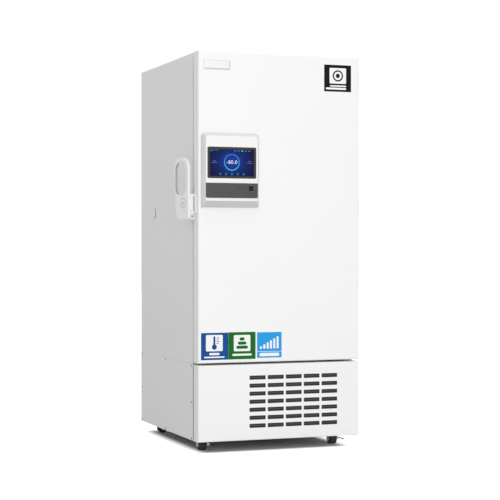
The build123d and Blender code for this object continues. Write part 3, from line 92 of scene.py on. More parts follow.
# %% World light
light_strength = 0.60
backdrop_strength = 1.0
world = bpy.data.worlds.new("studio")
bpy.context.scene.world = world
world.use_nodes = True
sky = world.node_tree
sky.nodes.clear()
either = sky.nodes.new("ShaderNodeMixShader")
out = sky.nodes.new("ShaderNodeOutputWorld")
sky.links.new(either.outputs[0], out.inputs["Surface"])
seen = sky.nodes.new("ShaderNodeLightPath")
sees_backdrop = seen.outputs["Is Camera Ray"]
for kind in ("Is Glossy Ray", "Is Transmission Ray"):
    larger = sky.nodes.new("ShaderNodeMath")
    larger.operation = "MAXIMUM"
    sky.links.new(sees_backdrop, larger.inputs[0])
    sky.links.new(seen.outputs[kind], larger.inputs[1])
    sees_backdrop = larger.outputs[0]
sky.links.new(sees_backdrop, either.inputs[0])
for slot, strength in ((1, light_strength), (2, backdrop_strength)):
    background = sky.nodes.new("ShaderNodeBackground")
    background.inputs["Color"].default_value = (1, 1, 1, 1)
    background.inputs["Strength"].default_value = strength
    sky.links.new(background.outputs[0], either.inputs[slot])
print("world light", light_strength, "before a backdrop of", backdrop_strength)

# %% [markdown]
# Two wide lamps add to the world. The one in front makes the front lighter than the side, as in
# the photograph, and the one above lights what faces up. The front lamp stands to the left of the
# place that a mirror on the door would show to the camera, or its glare would wash out every dark
# colour. Wide lamps are chosen because their shadows have soft edges.

# %% Lamps
def soft_lamp(name, place, aim, size, watts):
    """A square lamp that points from its place to the aim."""
    data = bpy.data.lights.new(name, "AREA")
    data.shape = "SQUARE"
    data.size = size
    data.energy = watts
    lamp = bpy.data.objects.new(name, data)
    lamp.location = place
    lamp.rotation_euler = (Vector(aim) - Vector(place)).to_track_quat("-Z", "Y").to_euler()
    bpy.context.scene.collection.objects.link(lamp)
    print("lamp", name, watts, "W")


soft_lamp("front_lamp", place=(-0.6, -7.6, 2.1), aim=(0, -0.4, 0.7), size=2.5, watts=178)
soft_lamp("top_lamp", place=(0.0, -0.6, 6.0), aim=(0, 0, 1.0), size=4.0, watts=60)

# %% [markdown]
# The floor is a plain pale sheet. To the camera it gives off light of its own, so that it fades
# into the white world. A backdrop could be modelled with a curve up the wall, but a floor that
# glows needs no wall.

# %% Floor
floor_tone = (0.8, 0.8, 0.8, 1)
floor_mesh = bpy.data.meshes.new("floor")
bm = bmesh.new()
bmesh.ops.create_grid(bm, x_segments=1, y_segments=1, size=25)
bm.to_mesh(floor_mesh)
bm.free()
floor = bpy.data.objects.new("floor", floor_mesh)
bpy.context.scene.collection.objects.link(floor)
floor_paint = bpy.data.materials.new("floor_paint")
floor_paint.use_nodes = True
floor_mesh.materials.append(floor_paint)
floor_tree = floor_paint.node_tree
floor_shader = floor_tree.nodes["Principled BSDF"]
floor_shader.inputs["Base Color"].default_value = floor_tone
floor_shader.inputs["Roughness"].default_value = 1.0
floor_shader.inputs["Specular IOR Level"].default_value = 0.0
floor_seen = floor_tree.nodes.new("ShaderNodeLightPath")
floor_tree.links.new(floor_seen.outputs["Is Camera Ray"], floor_shader.inputs["Emission Strength"])
print("floor", len(floor_mesh.polygons), "face")

# %% [markdown]
# The floor's glow would hide the dark, soft shadow that the photograph has under the freezer, so
# it is held back there. The distance to the freezer's footprint sets how much of it shows: none
# inside, and all of it a few centimetres out. This is a mask, not the result of light.

# %% Glow held back under the freezer
footprint_middle = (0, 0.04, 0)
footprint_half = (0.345, 0.43, 0)
fade_width = 0.075


def vector_step(operation, source, other=(0, 0, 0)):
    """A step of vector arithmetic between a socket of the floor's material and three numbers."""
    node = floor_tree.nodes.new("ShaderNodeVectorMath")
    node.operation = operation
    node.inputs[1].default_value = other
    floor_tree.links.new(source, node.inputs[0])
    return node.outputs["Value" if operation == "LENGTH" else "Vector"]


floor_place = floor_tree.nodes.new("ShaderNodeTexCoord")
from_middle = vector_step("SUBTRACT", floor_place.outputs["Object"], footprint_middle)
outward = vector_step("ABSOLUTE", from_middle)
beyond = vector_step("MAXIMUM", vector_step("SUBTRACT", outward, footprint_half))
fade = floor_tree.nodes.new("ShaderNodeMapRange")
fade.interpolation_type = "SMOOTHSTEP"
fade.inputs["From Max"].default_value = fade_width
floor_glow = floor_tree.nodes.new("ShaderNodeMix")
floor_glow.data_type = "RGBA"
floor_glow.inputs["A"].default_value = (0, 0, 0, 1)
floor_glow.inputs["B"].default_value = floor_tone
floor_tree.links.new(vector_step("LENGTH", beyond), fade.inputs["Value"])
floor_tree.links.new(fade.outputs["Result"], floor_glow.inputs["Factor"])
floor_tree.links.new(floor_glow.outputs["Result"], floor_shader.inputs["Emission Color"])
print("glow fades over", fade_width, "m round the footprint")

# %% [markdown]
# Several finishes share the same small-scale effects. Each effect is a node group that is built
# once: it takes a colour and a few sizes and gives back a colour, a roughness and a height that
# change over the surface. The shader itself stays in each material. Patterns read Object
# coordinates, so they keep their real size on every piece.

# %% Helpers for effect groups
def effect(name, settings):
    """A new group that takes a colour and named numbers, with its input sockets and the place."""
    group = bpy.data.node_groups.new(name, "ShaderNodeTree")
    group.interface.new_socket("Colour", in_out="INPUT", socket_type="NodeSocketColor")
    for label, value in settings.items():
        socket = group.interface.new_socket(label, in_out="INPUT", socket_type="NodeSocketFloat")
        socket.default_value = value
    group.interface.new_socket("Colour", in_out="OUTPUT", socket_type="NodeSocketColor")
    for label in ("Roughness", "Height"):
        group.interface.new_socket(label, in_out="OUTPUT", socket_type="NodeSocketFloat")
    inside = group.nodes.new("NodeGroupInput")
    place = group.nodes.new("ShaderNodeTexCoord")
    return group, inside.outputs, place.outputs["Object"]


def give(group, **results):
    """Link a group's results, each named as the output it goes to, in small letters."""
    outside = group.nodes.new("NodeGroupOutput")
    for label, socket in results.items():
        group.links.new(socket, outside.inputs[label.capitalize()])
    print("group", group.name, "with", len(group.nodes), "nodes")


# %% [markdown]
# Inside a group the same small steps come back again and again: a cloudy noise, a sum of two
# numbers, a colour made darker. Each is a node or two, so one function per step keeps the effects
# below short.

# %% Helpers for steps inside a group
def noise(group, vector, scale=None, detail=2.0, fixed=1.0):
    """A noise texture on a vector, with its scale linked or fixed."""
    node = group.nodes.new("ShaderNodeTexNoise")
    node.inputs["Detail"].default_value = detail
    node.inputs["Scale"].default_value = fixed
    group.links.new(vector, node.inputs["Vector"])
    if scale is not None:
        group.links.new(scale, node.inputs["Scale"])
    return node.outputs["Fac"]


def sums(group, operation, first, second):
    """A math node between two sockets or numbers."""
    node = group.nodes.new("ShaderNodeMath")
    node.operation = operation
    for slot, value in enumerate((first, second)):
        if isinstance(value, (int, float)):
            node.inputs[slot].default_value = value
        else:
            group.links.new(value, node.inputs[slot])
    return node.outputs[0]


def lowered(group, value, amount):
    """One less a value times an amount: what a colour is multiplied by to darken it."""
    return sums(group, "SUBTRACT", 1.0, sums(group, "MULTIPLY", value, amount))


def swing(group, value, amount):
    """A value between 0 and 1 as a small change either way."""
    return sums(group, "MULTIPLY", sums(group, "SUBTRACT", value, 0.5), amount)


def shaded(group, colour, amount):
    """A colour darkened by a number that changes over the surface."""
    node = group.nodes.new("ShaderNodeMix")
    node.data_type = "RGBA"
    node.blend_type = "MULTIPLY"
    node.inputs["Factor"].default_value = 1.0
    group.links.new(colour, node.inputs["A"])
    group.links.new(amount, node.inputs["B"])
    return node.outputs["Result"]


# %% [markdown]
# Powder coat and moulded plastic both have a fine bumpy skin, like the peel of an orange, and a
# tone that drifts a little across a large panel. A speckle could be painted, but a height that
# feeds a bump node answers to light the way the real skin does.

# %% Fine skin of paint and plastic
fine_skin, given, place = effect("fine_skin", {"Grain": 900, "Drift": 0.03, "Roughness": 0.4})
grain = noise(fine_skin, place, scale=given["Grain"])
cloud = noise(fine_skin, place, detail=3, fixed=2.2)
give(
    fine_skin,
    colour=shaded(fine_skin, given["Colour"], lowered(fine_skin, cloud, given["Drift"])),
    roughness=sums(fine_skin, "ADD", given["Roughness"], swing(fine_skin, grain, 0.12)),
    height=grain,
)

# %% [markdown]
# Rolled and brushed steel has fine lines in one direction. Stretching the coordinates before the
# noise draws out its grains into lines, which is lighter than modelling scratches and turns with
# the stretch numbers.

# %% Brushed lines
brushed, given, place = effect(
    "brushed",
    {"Across X": 40, "Across Y": 40, "Across Z": 900, "Contrast": 0.12, "Roughness": 0.35},
)
stretch = brushed.nodes.new("ShaderNodeCombineXYZ")
for axis in "XYZ":
    brushed.links.new(given[f"Across {axis}"], stretch.inputs[axis])
drawn = brushed.nodes.new("ShaderNodeVectorMath")
drawn.operation = "MULTIPLY"
brushed.links.new(place, drawn.inputs[0])
brushed.links.new(stretch.outputs[0], drawn.inputs[1])
lines = noise(brushed, drawn.outputs[0], detail=3)
give(
    brushed,
    colour=shaded(brushed, given["Colour"], lowered(brushed, lines, given["Contrast"])),
    roughness=sums(brushed, "ADD", given["Roughness"], swing(brushed, lines, 0.3)),
    height=lines,
)

# %% [markdown]
# Rubber, foam and bare cast surfaces are pitted and a little dusty. A cell texture gives the pits
# as a height, and a cloudy noise lays pale dust over the colour.

# %% Mottled skin
mottled, given, place = effect("mottled", {"Pits": 600, "Dust": 0.2, "Roughness": 0.7})
cells = mottled.nodes.new("ShaderNodeTexVoronoi")
mottled.links.new(place, cells.inputs["Vector"])
mottled.links.new(given["Pits"], cells.inputs["Scale"])
cloud = noise(mottled, place, detail=4, fixed=14)
dusty = mottled.nodes.new("ShaderNodeMix")
dusty.data_type = "RGBA"
dusty.inputs["B"].default_value = (*paint(190, 186, 178), 1)
mottled.links.new(sums(mottled, "MULTIPLY", cloud, given["Dust"]), dusty.inputs["Factor"])
mottled.links.new(given["Colour"], dusty.inputs["A"])
give(
    mottled,
    colour=dusty.outputs["Result"],
    roughness=sums(mottled, "ADD", given["Roughness"], sums(mottled, "MULTIPLY", cloud, 0.2)),
    height=cells.outputs["Distance"],
)

# %% [markdown]
# With the effects in hand, a finish is one call: a colour, an effect with its own numbers, and the
# shader's plain settings. The bump stays slight, well under a millimetre.

# %% A helper for finishes
def finish(
    name, colour, group, numbers, metallic=0.0, coat=0.0, bump=0.15, depth=0.0002, specular=0.5
):
    """A material: an effect group, with its numbers in order, that feeds a Principled shader."""
    material = bpy.data.materials.new(name)
    material.use_nodes = True
    tree = material.node_tree
    shader = tree.nodes["Principled BSDF"]
    shader.inputs["Metallic"].default_value = metallic
    shader.inputs["Coat Weight"].default_value = coat
    shader.inputs["Specular IOR Level"].default_value = specular
    skin = tree.nodes.new("ShaderNodeGroup")
    skin.node_tree = group
    skin.inputs["Colour"].default_value = (*colour, 1)
    for socket, number in zip(list(skin.inputs)[1:], numbers):
        socket.default_value = number
    relief = tree.nodes.new("ShaderNodeBump")
    relief.inputs["Strength"].default_value = bump
    relief.inputs["Distance"].default_value = depth
    tree.links.new(skin.outputs["Colour"], shader.inputs["Base Color"])
    tree.links.new(skin.outputs["Roughness"], shader.inputs["Roughness"])
    tree.links.new(skin.outputs["Height"], relief.inputs["Height"])
    tree.links.new(relief.outputs["Normal"], shader.inputs["Normal"])
    return material


# %% [markdown]
# The record names a finish for every piece, so a table holds one row per finish. After the screen
# colour comes the effect and its numbers in the order of its sockets: grain, drift and roughness
# for the fine skin; the stretch across x, y and z, then contrast and roughness, for the brushed
# lines; pits, dust and roughness for the mottled skin.

# %% Finishes
finish_rows = {
    "white_paint": ((246, 246, 246), fine_skin, (700, 0.02, 0.38), {}),
    "side_paint": ((240, 240, 240), fine_skin, (700, 0.03, 0.42), {}),
    "white_plastic": ((240, 240, 238), fine_skin, (1400, 0.02, 0.45), {}),
    "inner_plastic": ((232, 236, 240), fine_skin, (1200, 0.04, 0.42), {}),
    "housing_plastic": ((244, 244, 242), fine_skin, (1600, 0.02, 0.30), {}),
    "dark_plastic": ((12, 12, 13), fine_skin, (1300, 0.10, 0.5), {"specular": 0.2}),
    "strip_plastic": ((78, 76, 77), fine_skin, (1500, 0.04, 0.45), {"specular": 0.25}),
    "steel_liner": ((205, 207, 209), brushed, (30, 30, 900), {"metallic": 1.0}),
    "shelf_steel": ((200, 202, 204), brushed, (30, 900, 900), {"metallic": 1.0}),
    "galvanised": ((170, 173, 176), mottled, (90, 0.15, 0.35), {"metallic": 0.9, "bump": 0.05}),
    "zinc": ((196, 198, 200), brushed, (300, 300, 300, 0.10, 0.24), {"metallic": 1.0}),
    "lock_metal": ((205, 206, 208), brushed, (500, 500, 500, 0.05, 0.16), {"metallic": 1.0}),
    "fins": ((150, 152, 155), brushed, (60, 60, 700, 0.12, 0.4), {"metallic": 1.0}),
    "copper": ((186, 112, 78), mottled, (200, 0.12, 0.28), {"metallic": 1.0, "bump": 0.04}),
    "dark_steel": ((30, 30, 32), fine_skin, (500, 0.2, 0.28), {"coat": 0.4}),
    "grey_paint": ((118, 121, 126), fine_skin, (600, 0.08, 0.34), {"coat": 0.2}),
    "gasket_rubber": ((176, 178, 181), mottled, (900, 0.05, 0.55), {"bump": 0.08}),
    "black_rubber": ((30, 30, 31), mottled, (700, 0.10, 0.55), {"bump": 0.2}),
    "jacket": ((44, 44, 46), mottled, (420, 0.10, 0.8), {"bump": 0.5, "depth": 0.0006}),
    "foam": ((226, 212, 168), mottled, (350, 0.10, 0.85), {"bump": 0.6, "depth": 0.0008}),
    "filter_mesh": ((24, 24, 25), mottled, (520, 0.10, 0.8), {"bump": 0.8, "depth": 0.0008}),
    "screen_glass": ((70, 66, 62), fine_skin, (60, 0.03, 0.12), {"bump": 0.0, "specular": 0.15}),
}
finishes = {
    name: finish(name, paint(*colour), group, numbers, **extra)
    for name, (colour, group, numbers, extra) in finish_rows.items()
}
for part in frame["record"]["subparts"]:
    node = frame["nodes"][part["node"]]
    node.data.materials.clear()
    node.data.materials.append(finishes[part["material_slot"]])
print("finishes", len(finishes), "on", len(frame["nodes"]), "nodes")

# %% [markdown]
# Two pieces of white plastic get painted shade in places, darker than their finish. A tint does it:
# a small group that reads the surface's own direction or place and multiplies the colour by a tone,
# set between the skin and the shader in a copy of the finish. These tints follow the photograph;
# they are painted shade, not the result of light.

# %% Helpers for tints
def tint(name):
    """A new group with a colour in and a colour out, and the socket that holds the colour."""
    group = bpy.data.node_groups.new(name, "ShaderNodeTree")
    for way in ("INPUT", "OUTPUT"):
        group.interface.new_socket("Colour", in_out=way, socket_type="NodeSocketColor")
    return group, group.nodes.new("NodeGroupInput").outputs["Colour"]


def along(tree, source, axis):
    """One axis of the surface's Normal or of its Object place."""
    place = tree.nodes.new("ShaderNodeTexCoord")
    split = tree.nodes.new("ShaderNodeSeparateXYZ")
    tree.links.new(place.outputs[source], split.inputs["Vector"])
    return split.outputs[axis]


def ramp(tree, value, start, end, first, last):
    """A number that goes from first to last while a value goes from start to end."""
    node = tree.nodes.new("ShaderNodeMapRange")
    limits = {"From Min": start, "From Max": end, "To Min": first, "To Max": last}
    for label, limit in limits.items():
        node.inputs[label].default_value = limit
    tree.links.new(value, node.inputs["Value"])
    return node.outputs["Result"]


def add_tint(piece, name, group):
    """Put a copy of the housing's finish, darkened by a group's painted shade, on one piece."""
    material = finishes["housing_plastic"].copy()
    material.name = name
    tree = material.node_tree
    shader = tree.nodes["Principled BSDF"]
    skin = shader.inputs["Base Color"].links[0].from_node
    step = tree.nodes.new("ShaderNodeGroup")
    step.node_tree = group
    tree.links.new(skin.outputs["Colour"], step.inputs["Colour"])
    tree.links.new(step.outputs["Colour"], shader.inputs["Base Color"])
    frame["nodes"][piece].data.materials[0] = material
    print("tint", group.name, "on", piece)


# %% [markdown]
# The display housing's bevels get painted shade, darker than its face as in the photograph, on
# every side and most of all underneath. The tint reads how far the surface turns away from the
# front, and down.

# %% Painted shade on the housing's bevels
# Painted shade: tones that darken the colour where the surface turns away from the front and down.
bevel_shade_tone = 0.80
under_shade_tone = 0.72
facing, given_colour = tint("facing")
turned = ramp(facing, along(facing, "Normal", "Y"), -1.0, -0.75, 1.0, bevel_shade_tone)
under = ramp(facing, along(facing, "Normal", "Z"), -0.5, -0.05, under_shade_tone, 1.0)
both = sums(facing, "MULTIPLY", turned, under)
give(facing, colour=shaded(facing, given_colour, both))
add_tint("display_housing", "housing_with_painted_shade", facing)

# %% [markdown]
# In the photograph the rear wall of the handle's opening is dark, so it gets painted shade. The
# tint is a mask here: above the lever's foot, that wall is its only surface that faces the front
# and lies in its rear half.

# %% Painted shade on the wall in the handle's opening
lever_low, lever_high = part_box("handle_lever")
lever_middle = (lever_low.y + lever_high.y) / 2
foot_top = lever_low.z + 0.11
# Painted shade on the rear wall of the handle's opening: the mask below darkens it by this much.
wall_shade_loss = 0.55
painted_wall_shade, given_colour = tint("painted_wall_shade")
to_front = sums(painted_wall_shade, "LESS_THAN", along(painted_wall_shade, "Normal", "Y"), -0.55)
behind = sums(painted_wall_shade, "GREATER_THAN", along(painted_wall_shade, "Object", "Y"), lever_middle)
above = sums(painted_wall_shade, "GREATER_THAN", along(painted_wall_shade, "Object", "Z"), foot_top)
wall_shade_mask = sums(painted_wall_shade, "MULTIPLY", sums(painted_wall_shade, "MULTIPLY", to_front, behind), above)
wall_shade_tone = lowered(painted_wall_shade, wall_shade_mask, wall_shade_loss)
give(painted_wall_shade, colour=shaded(painted_wall_shade, given_colour, wall_shade_tone))
add_tint("handle_lever", "lever_with_painted_shade", painted_wall_shade)

# %% [markdown]
# A few pieces differ from the others of their finish, so they get materials of their own: the
# forks and plates of the casters get a lighter zinc, painted light where they stand in shade, the
# brake levers are black, and the screws of the covers are grey.

# %% Casters, brakes and screws
# A lighter copy of zinc: painted light on the casters' forks and plates, which stand in shade.
zinc_with_painted_light = finish(
    "zinc_with_painted_light", paint(226, 227, 229), brushed, (300, 300, 300, 0.10, 0.3), metallic=0.35
)
brake_black = finish(
    "brake_black", paint(20, 20, 21), fine_skin, (900, 0.1, 0.5), specular=0.25
)
screw_grey = finish("screw_grey", paint(120, 120, 122), fine_skin, (900, 0.1, 0.4), metallic=0.5)
own_materials = (
    ("caster_fork", zinc_with_painted_light),
    ("caster_plates", zinc_with_painted_light),
    ("brake_lever", brake_black),
    ("cover_screws", screw_grey),
)
for prefix, material in own_materials:
    matching = [node for name, node in frame["nodes"].items() if name.startswith(prefix)]
    for node in matching:
        node.data.materials[0] = material
    print(material.name, "on", len(matching), prefix)

# %% [markdown]
# Every new piece ends the same way: its faces are made to point outwards, it becomes an object
# that rides on one body of the frame, and it gets its material.

# %% A helper that keeps a piece
def keep_piece(name, bm, material, body):
    """Turn a finished bmesh into an object that rides on a body."""
    bmesh.ops.remove_doubles(bm, verts=bm.verts, dist=1e-6)
    bmesh.ops.recalc_face_normals(bm, faces=bm.faces)
    for face in bm.faces:
        face.smooth = False
    mesh = bpy.data.meshes.new(name)
    bm.to_mesh(mesh)
    bm.free()
    mesh.materials.append(material)
    piece = bpy.data.objects.new(name, mesh)
    bpy.context.scene.collection.objects.link(piece)
    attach(piece, body)
    print("piece", name, len(mesh.polygons), "faces")


# %% [markdown]
# Labels, tiles, the badge and the lit picture are all thin plates that face the front. A plate
# starts as a one-face grid, its corners are rounded with a vertex bevel, and it is pushed forward
# to its thickness. Drawing them as solid plates instead of an image keeps their edges sharp.

# %% Helpers for thin plates
def stand(bm, known, faces, border, x, back, z, thick):
    """Thicken the flat faces just drawn, or only their border, and stand them up to the front."""
    if border:
        rim = bmesh.ops.inset_region(
            bm, faces=faces, thickness=border, use_even_offset=True, use_boundary=True
        )["faces"]
        bmesh.ops.delete(bm, geom=faces, context="FACES")
        faces = rim
    pushed = bmesh.ops.extrude_face_region(bm, geom=faces)["geom"]
    top = [item for item in pushed if isinstance(item, bmesh.types.BMVert)]
    bmesh.ops.translate(bm, vec=(0, 0, thick), verts=top)
    whole = [vert for vert in bm.verts if vert not in known]
    upright = Matrix.Translation((x, back, z)) @ Matrix.Rotation(pi / 2, 4, "X")
    bmesh.ops.transform(bm, matrix=upright, verts=whole)


def add_plate(bm, left, right, low, high, back, thick, corner=0.0, steps=5, border=0.0):
    """Add a plate, or a frame of one border, that faces the front in front of its back plane."""
    known = set(bm.verts)
    made = bmesh.ops.create_grid(bm, x_segments=1, y_segments=1, size=0.5)["verts"]
    bmesh.ops.scale(bm, vec=(right - left, high - low, 1), verts=made)
    if corner:
        bmesh.ops.bevel(
            bm, geom=made, offset=corner, segments=steps,
            affect="VERTICES", profile=0.5, material=-1,
        )
    faces = [face for face in bm.faces if not known.intersection(face.verts)]
    stand(bm, known, faces, border, (left + right) / 2, back, (low + high) / 2, thick)


def add_disc(bm, x, z, radius, back, thick, sides=32, inner=0.0):
    """Add a round plate, or a flat ring, that faces the front."""
    known = set(bm.verts)
    rim = bmesh.ops.create_circle(bm, cap_ends=True, radius=radius, segments=sides)["verts"]
    faces = list({face for vert in rim for face in vert.link_faces})
    stand(bm, known, faces, radius - inner if inner else 0.0, x, back, z, thick)


# %% [markdown]
# Printed vinyl is nearly flat colour under a thin film, so its finish is the fine skin with almost
# no drift, bump or gloss. Each ink is its own material, since an ink never blends into another.

# %% Inks
def ink(name, colour):
    """Printed vinyl of one colour."""
    return finish(name, colour, fine_skin, (1800, 0.05, 0.5), bump=0.03, specular=0.12)


ink_blue = ink("ink_blue", paint(22, 78, 150))
ink_green = ink("ink_green", paint(22, 108, 38))
ink_sky = ink("ink_sky", paint(46, 160, 232))
ink_black = ink("ink_black", paint(14, 14, 14))
ink_white = ink("ink_white", paint(248, 248, 248))
print("inks", [colour.name for colour in (ink_blue, ink_green, ink_sky, ink_black, ink_white)])

# %% [markdown]
# Four square labels sit on the door: three in a row at its foot and a black one near the upper
# right corner. Only their sizes and colours follow the photograph. Three carry a white tile for a
# motif. Edges are given as left, right, low and high.

# %% Labels
door_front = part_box("door_skin")[0].y
film = 0.0003
tile_corner = 0.006


def label(name, base_ink, edges, tile=None):
    """A square of vinyl on the door, with a rounded white tile if one is given."""
    bm = bmesh.new()
    add_plate(bm, *edges, door_front, film)
    keep_piece(f"{name}_base", bm, base_ink, "door")
    if tile:
        bm = bmesh.new()
        add_plate(bm, *tile, door_front - film, film, corner=tile_corner)
        keep_piece(f"{name}_tile", bm, ink_white, "door")


label("label_blue", ink_blue, (-0.410, -0.2705, 0.457, 0.588), (-0.385, -0.299, 0.499, 0.578))
label("label_green", ink_green, (-0.270, -0.129, 0.457, 0.589), (-0.242, -0.156, 0.496, 0.575))
label("label_sky", ink_sky, (-0.121, 0.008, 0.461, 0.586))
label("label_black", ink_black, (0.236, 0.382, 1.778, 1.911), (0.265, 0.355, 1.818, 1.896))

# %% [markdown]
# Where the real labels have small words, these have rounded bars, since no one's words are copied.
# Each row gives a bar's centre, half length, height above the floor and own height.

# %% Bars in place of words
word_rows = (
    (-0.342, 0.026, 0.4855, 0.011),
    (-0.342, 0.052, 0.470, 0.007),
    (-0.199, 0.050, 0.479, 0.010),
    (0.311, 0.044, 1.806, 0.007),
    (0.300, 0.055, 1.793, 0.010),
    (-0.0565, 0.052, 0.4765, 0.016),
)
bm = bmesh.new()
for x, half, z, tall in word_rows:
    add_plate(
        bm, x - half, x + half, z - tall / 2, z + tall / 2,
        door_front - film, film, corner=tall * 0.4, steps=3,
    )
keep_piece("label_words", bm, ink_white, "door")

# %% [markdown]
# The blue tile gets a thermometer: a tube, a bulb and four scale marks. The green one gets a stack
# of rounded bars, each shorter than the one below. Both lie one film in front of their tiles and
# are built from the same plates and discs, so their edges stay as sharp as the labels'.

# %% Motifs of the blue and green labels
tile_front = door_front - 2 * film
bulb_x = -0.342
bm = bmesh.new()
add_plate(
    bm, bulb_x - 0.005, bulb_x + 0.005, 0.527, 0.571, tile_front, film, corner=0.0048, steps=6
)
add_disc(bm, bulb_x, 0.519, 0.0125, tile_front, film)
for step in range(4):
    mark_low = 0.5345 + 0.009 * step
    mark_right = -0.320 + 0.004 * (step % 2)
    add_plate(bm, -0.331, mark_right, mark_low, mark_low + 0.003, tile_front, film)
keep_piece("motif_blue", bm, ink_blue, "door")

stack_x = -0.199
bm = bmesh.new()
for row, half in enumerate((0.030, 0.022, 0.013)):
    bar_low = 0.508 + 0.020 * row
    add_plate(
        bm, stack_x - half, stack_x + half, bar_low, bar_low + 0.015, tile_front, film, corner=0.007
    )
keep_piece("motif_green", bm, ink_green, "door")

# %% [markdown]
# The black label's tile gets a ring round a dot. The light blue label has no tile, so its row of
# rising columns, over a thin base line, is white and lies one film in front of the label.

# %% Motifs of the black and light blue labels
target_x, target_z = 0.310, 1.857
bm = bmesh.new()
add_disc(bm, target_x, target_z, 0.028, tile_front, film, sides=48, inner=0.021)
add_disc(bm, target_x, target_z, 0.011, tile_front, film)
keep_piece("motif_black", bm, ink_black, "door")

label_front = door_front - film
bm = bmesh.new()
for column in range(6):
    left = -0.106 + 0.0175 * column
    top = 0.517 + 0.0095 * column
    add_plate(bm, left, left + 0.0105, 0.505, top, label_front, film, corner=0.003)
add_plate(bm, -0.119, 0.006, 0.4905, 0.4925, label_front, film)
keep_piece("motif_sky", bm, ink_white, "door")

# %% [markdown]
# The badge is a small pressed metal plate with a bevelled edge, left bare. A plate with its front
# edges bevelled catches light along the rim the way the pressed one does. A thin darker rim round
# its foot is painted shade, and two slivers on its face paint shade on its lower and right edges.

# %% Bare badge
badge_left, badge_right, badge_low, badge_high = -0.396, -0.261, 1.864, 1.907
badge_thick = 0.0028
rim_over = 0.0005
badge_metal = finish(
    "badge_metal", paint(228, 228, 230), brushed, (60, 60, 1500, 0.06, 0.4), metallic=0.3
)
# A darker metal for the painted shade round the badge's foot and on its lower and right edges.
badge_shade_metal = finish(
    "badge_shade_metal", paint(176, 176, 178), brushed, (90, 90, 900, 0.10, 0.45), metallic=0.3
)
bm = bmesh.new()
add_plate(bm, badge_left, badge_right, badge_low, badge_high, door_front, badge_thick, corner=0.004)
front_edges = [
    edge for edge in bm.edges if all(vert.co.y < door_front - 0.002 for vert in edge.verts)
]
bmesh.ops.bevel(
    bm, geom=front_edges, offset=0.0016, segments=3, affect="EDGES", profile=0.5, material=-1
)
keep_piece("badge_plate", bm, badge_metal, "door")
# A thin rim of painted shade round the badge's foot.
bm = bmesh.new()
add_plate(
    bm, badge_left - rim_over, badge_right + rim_over, badge_low - rim_over, badge_high + rim_over,
    door_front, 0.0012, corner=0.0045, border=0.0014,
)
keep_piece("badge_foot_shade", bm, badge_shade_metal, "door")
# Slivers of painted shade on the badge's lower and right edges.
bm = bmesh.new()
for edges in ((-0.3925, -0.2645, 1.8655, 1.8685), (-0.2655, -0.2630, 1.8665, 1.9045)):
    add_plate(bm, *edges, door_front - badge_thick, 0.0002, corner=0.001)
keep_piece("badge_edge_shade", bm, badge_shade_metal, "door")

# %% [markdown]
# Whatever shows on the screen gives off its own light, so those materials glow over a dark base.
# Two of them change colour over the surface: a number, such as a height, picks the colour from a
# short row of stops.

# %% Helpers for lit things
def lit(name, colour, strength):
    """A thing that gives off its own flat light, over a dark base."""
    material = bpy.data.materials.new(name)
    material.use_nodes = True
    shader = material.node_tree.nodes["Principled BSDF"]
    shader.inputs["Base Color"].default_value = (*(tone * 0.05 for tone in colour), 1)
    shader.inputs["Roughness"].default_value = 0.2
    shader.inputs["Specular IOR Level"].default_value = 0.1
    shader.inputs["Emission Color"].default_value = (*colour, 1)
    shader.inputs["Emission Strength"].default_value = strength
    return material


def light_stops(material, value, stops):
    """Let a number from 0 to 1 pick a material's light from stops of a position and a colour."""
    tree = material.node_tree
    picked = tree.nodes.new("ShaderNodeValToRGB")
    elements = picked.color_ramp.elements
    while len(elements) < len(stops):
        elements.new(0.5)
    for element, (position, colour) in zip(elements, stops):
        element.position = position
        element.color = (*colour, 1)
    tree.links.new(value, picked.inputs["Fac"])
    tree.links.new(picked.outputs["Color"], tree.nodes["Principled BSDF"].inputs["Emission Color"])
    print("light", material.name, "with", len(elements), "stops")


# %% [markdown]
# The screen shows a deep blue picture that glows more in the middle. A round gradient in the
# material gives it, since it is light and not ink, and the ring, the reading and the small marks
# lie over it as thin lit pieces.

# %% Screen picture
glass_low, glass_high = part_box("touchscreen")
glass_front = glass_low.y
skim = 0.0001
screen_x = -0.2640
ring_z = 1.4125
picture = lit("screen_picture", paint(24, 40, 130), 0.9)
tree = picture.node_tree
picture_place = tree.nodes.new("ShaderNodeTexCoord")
centred = tree.nodes.new("ShaderNodeMapping")
centred.vector_type = "TEXTURE"
centred.inputs["Location"].default_value = (screen_x, glass_front, ring_z)
centred.inputs["Scale"].default_value = (0.125, 0.125, 0.095)
round_glow = tree.nodes.new("ShaderNodeTexGradient")
round_glow.gradient_type = "SPHERICAL"
tree.links.new(picture_place.outputs["Object"], centred.inputs["Vector"])
tree.links.new(centred.outputs["Vector"], round_glow.inputs["Vector"])
light_stops(
    picture, round_glow.outputs["Fac"],
    ((0.0, paint(13, 14, 56)), (0.42, paint(15, 36, 104)), (0.85, paint(22, 58, 158))),
)
bm = bmesh.new()
add_plate(bm, -0.377, -0.150, 1.345, 1.475, glass_front, skim)
keep_piece("screen_picture", bm, picture, "door")

# %% [markdown]
# A bright ring holds the reading. It runs from blue at the top to green-blue at the foot, so its
# material uses a straight gradient up the screen. Three faint arcs of dots lie round it.

# %% Ring and arcs on the screen
picture_front = glass_front - skim
ring_light = lit("ring_light", paint(60, 180, 220), 1.0)
tree = ring_light.node_tree
climb = ramp(tree, along(tree, "Object", "Z"), ring_z - 0.038, ring_z + 0.038, 0.0, 1.0)
light_stops(ring_light, climb, ((0.0, paint(62, 196, 214)), (1.0, paint(44, 118, 205))))
bm = bmesh.new()
add_disc(bm, screen_x, ring_z, 0.0400, picture_front, skim, sides=96, inner=0.0355)
keep_piece("screen_ring", bm, ring_light, "door")

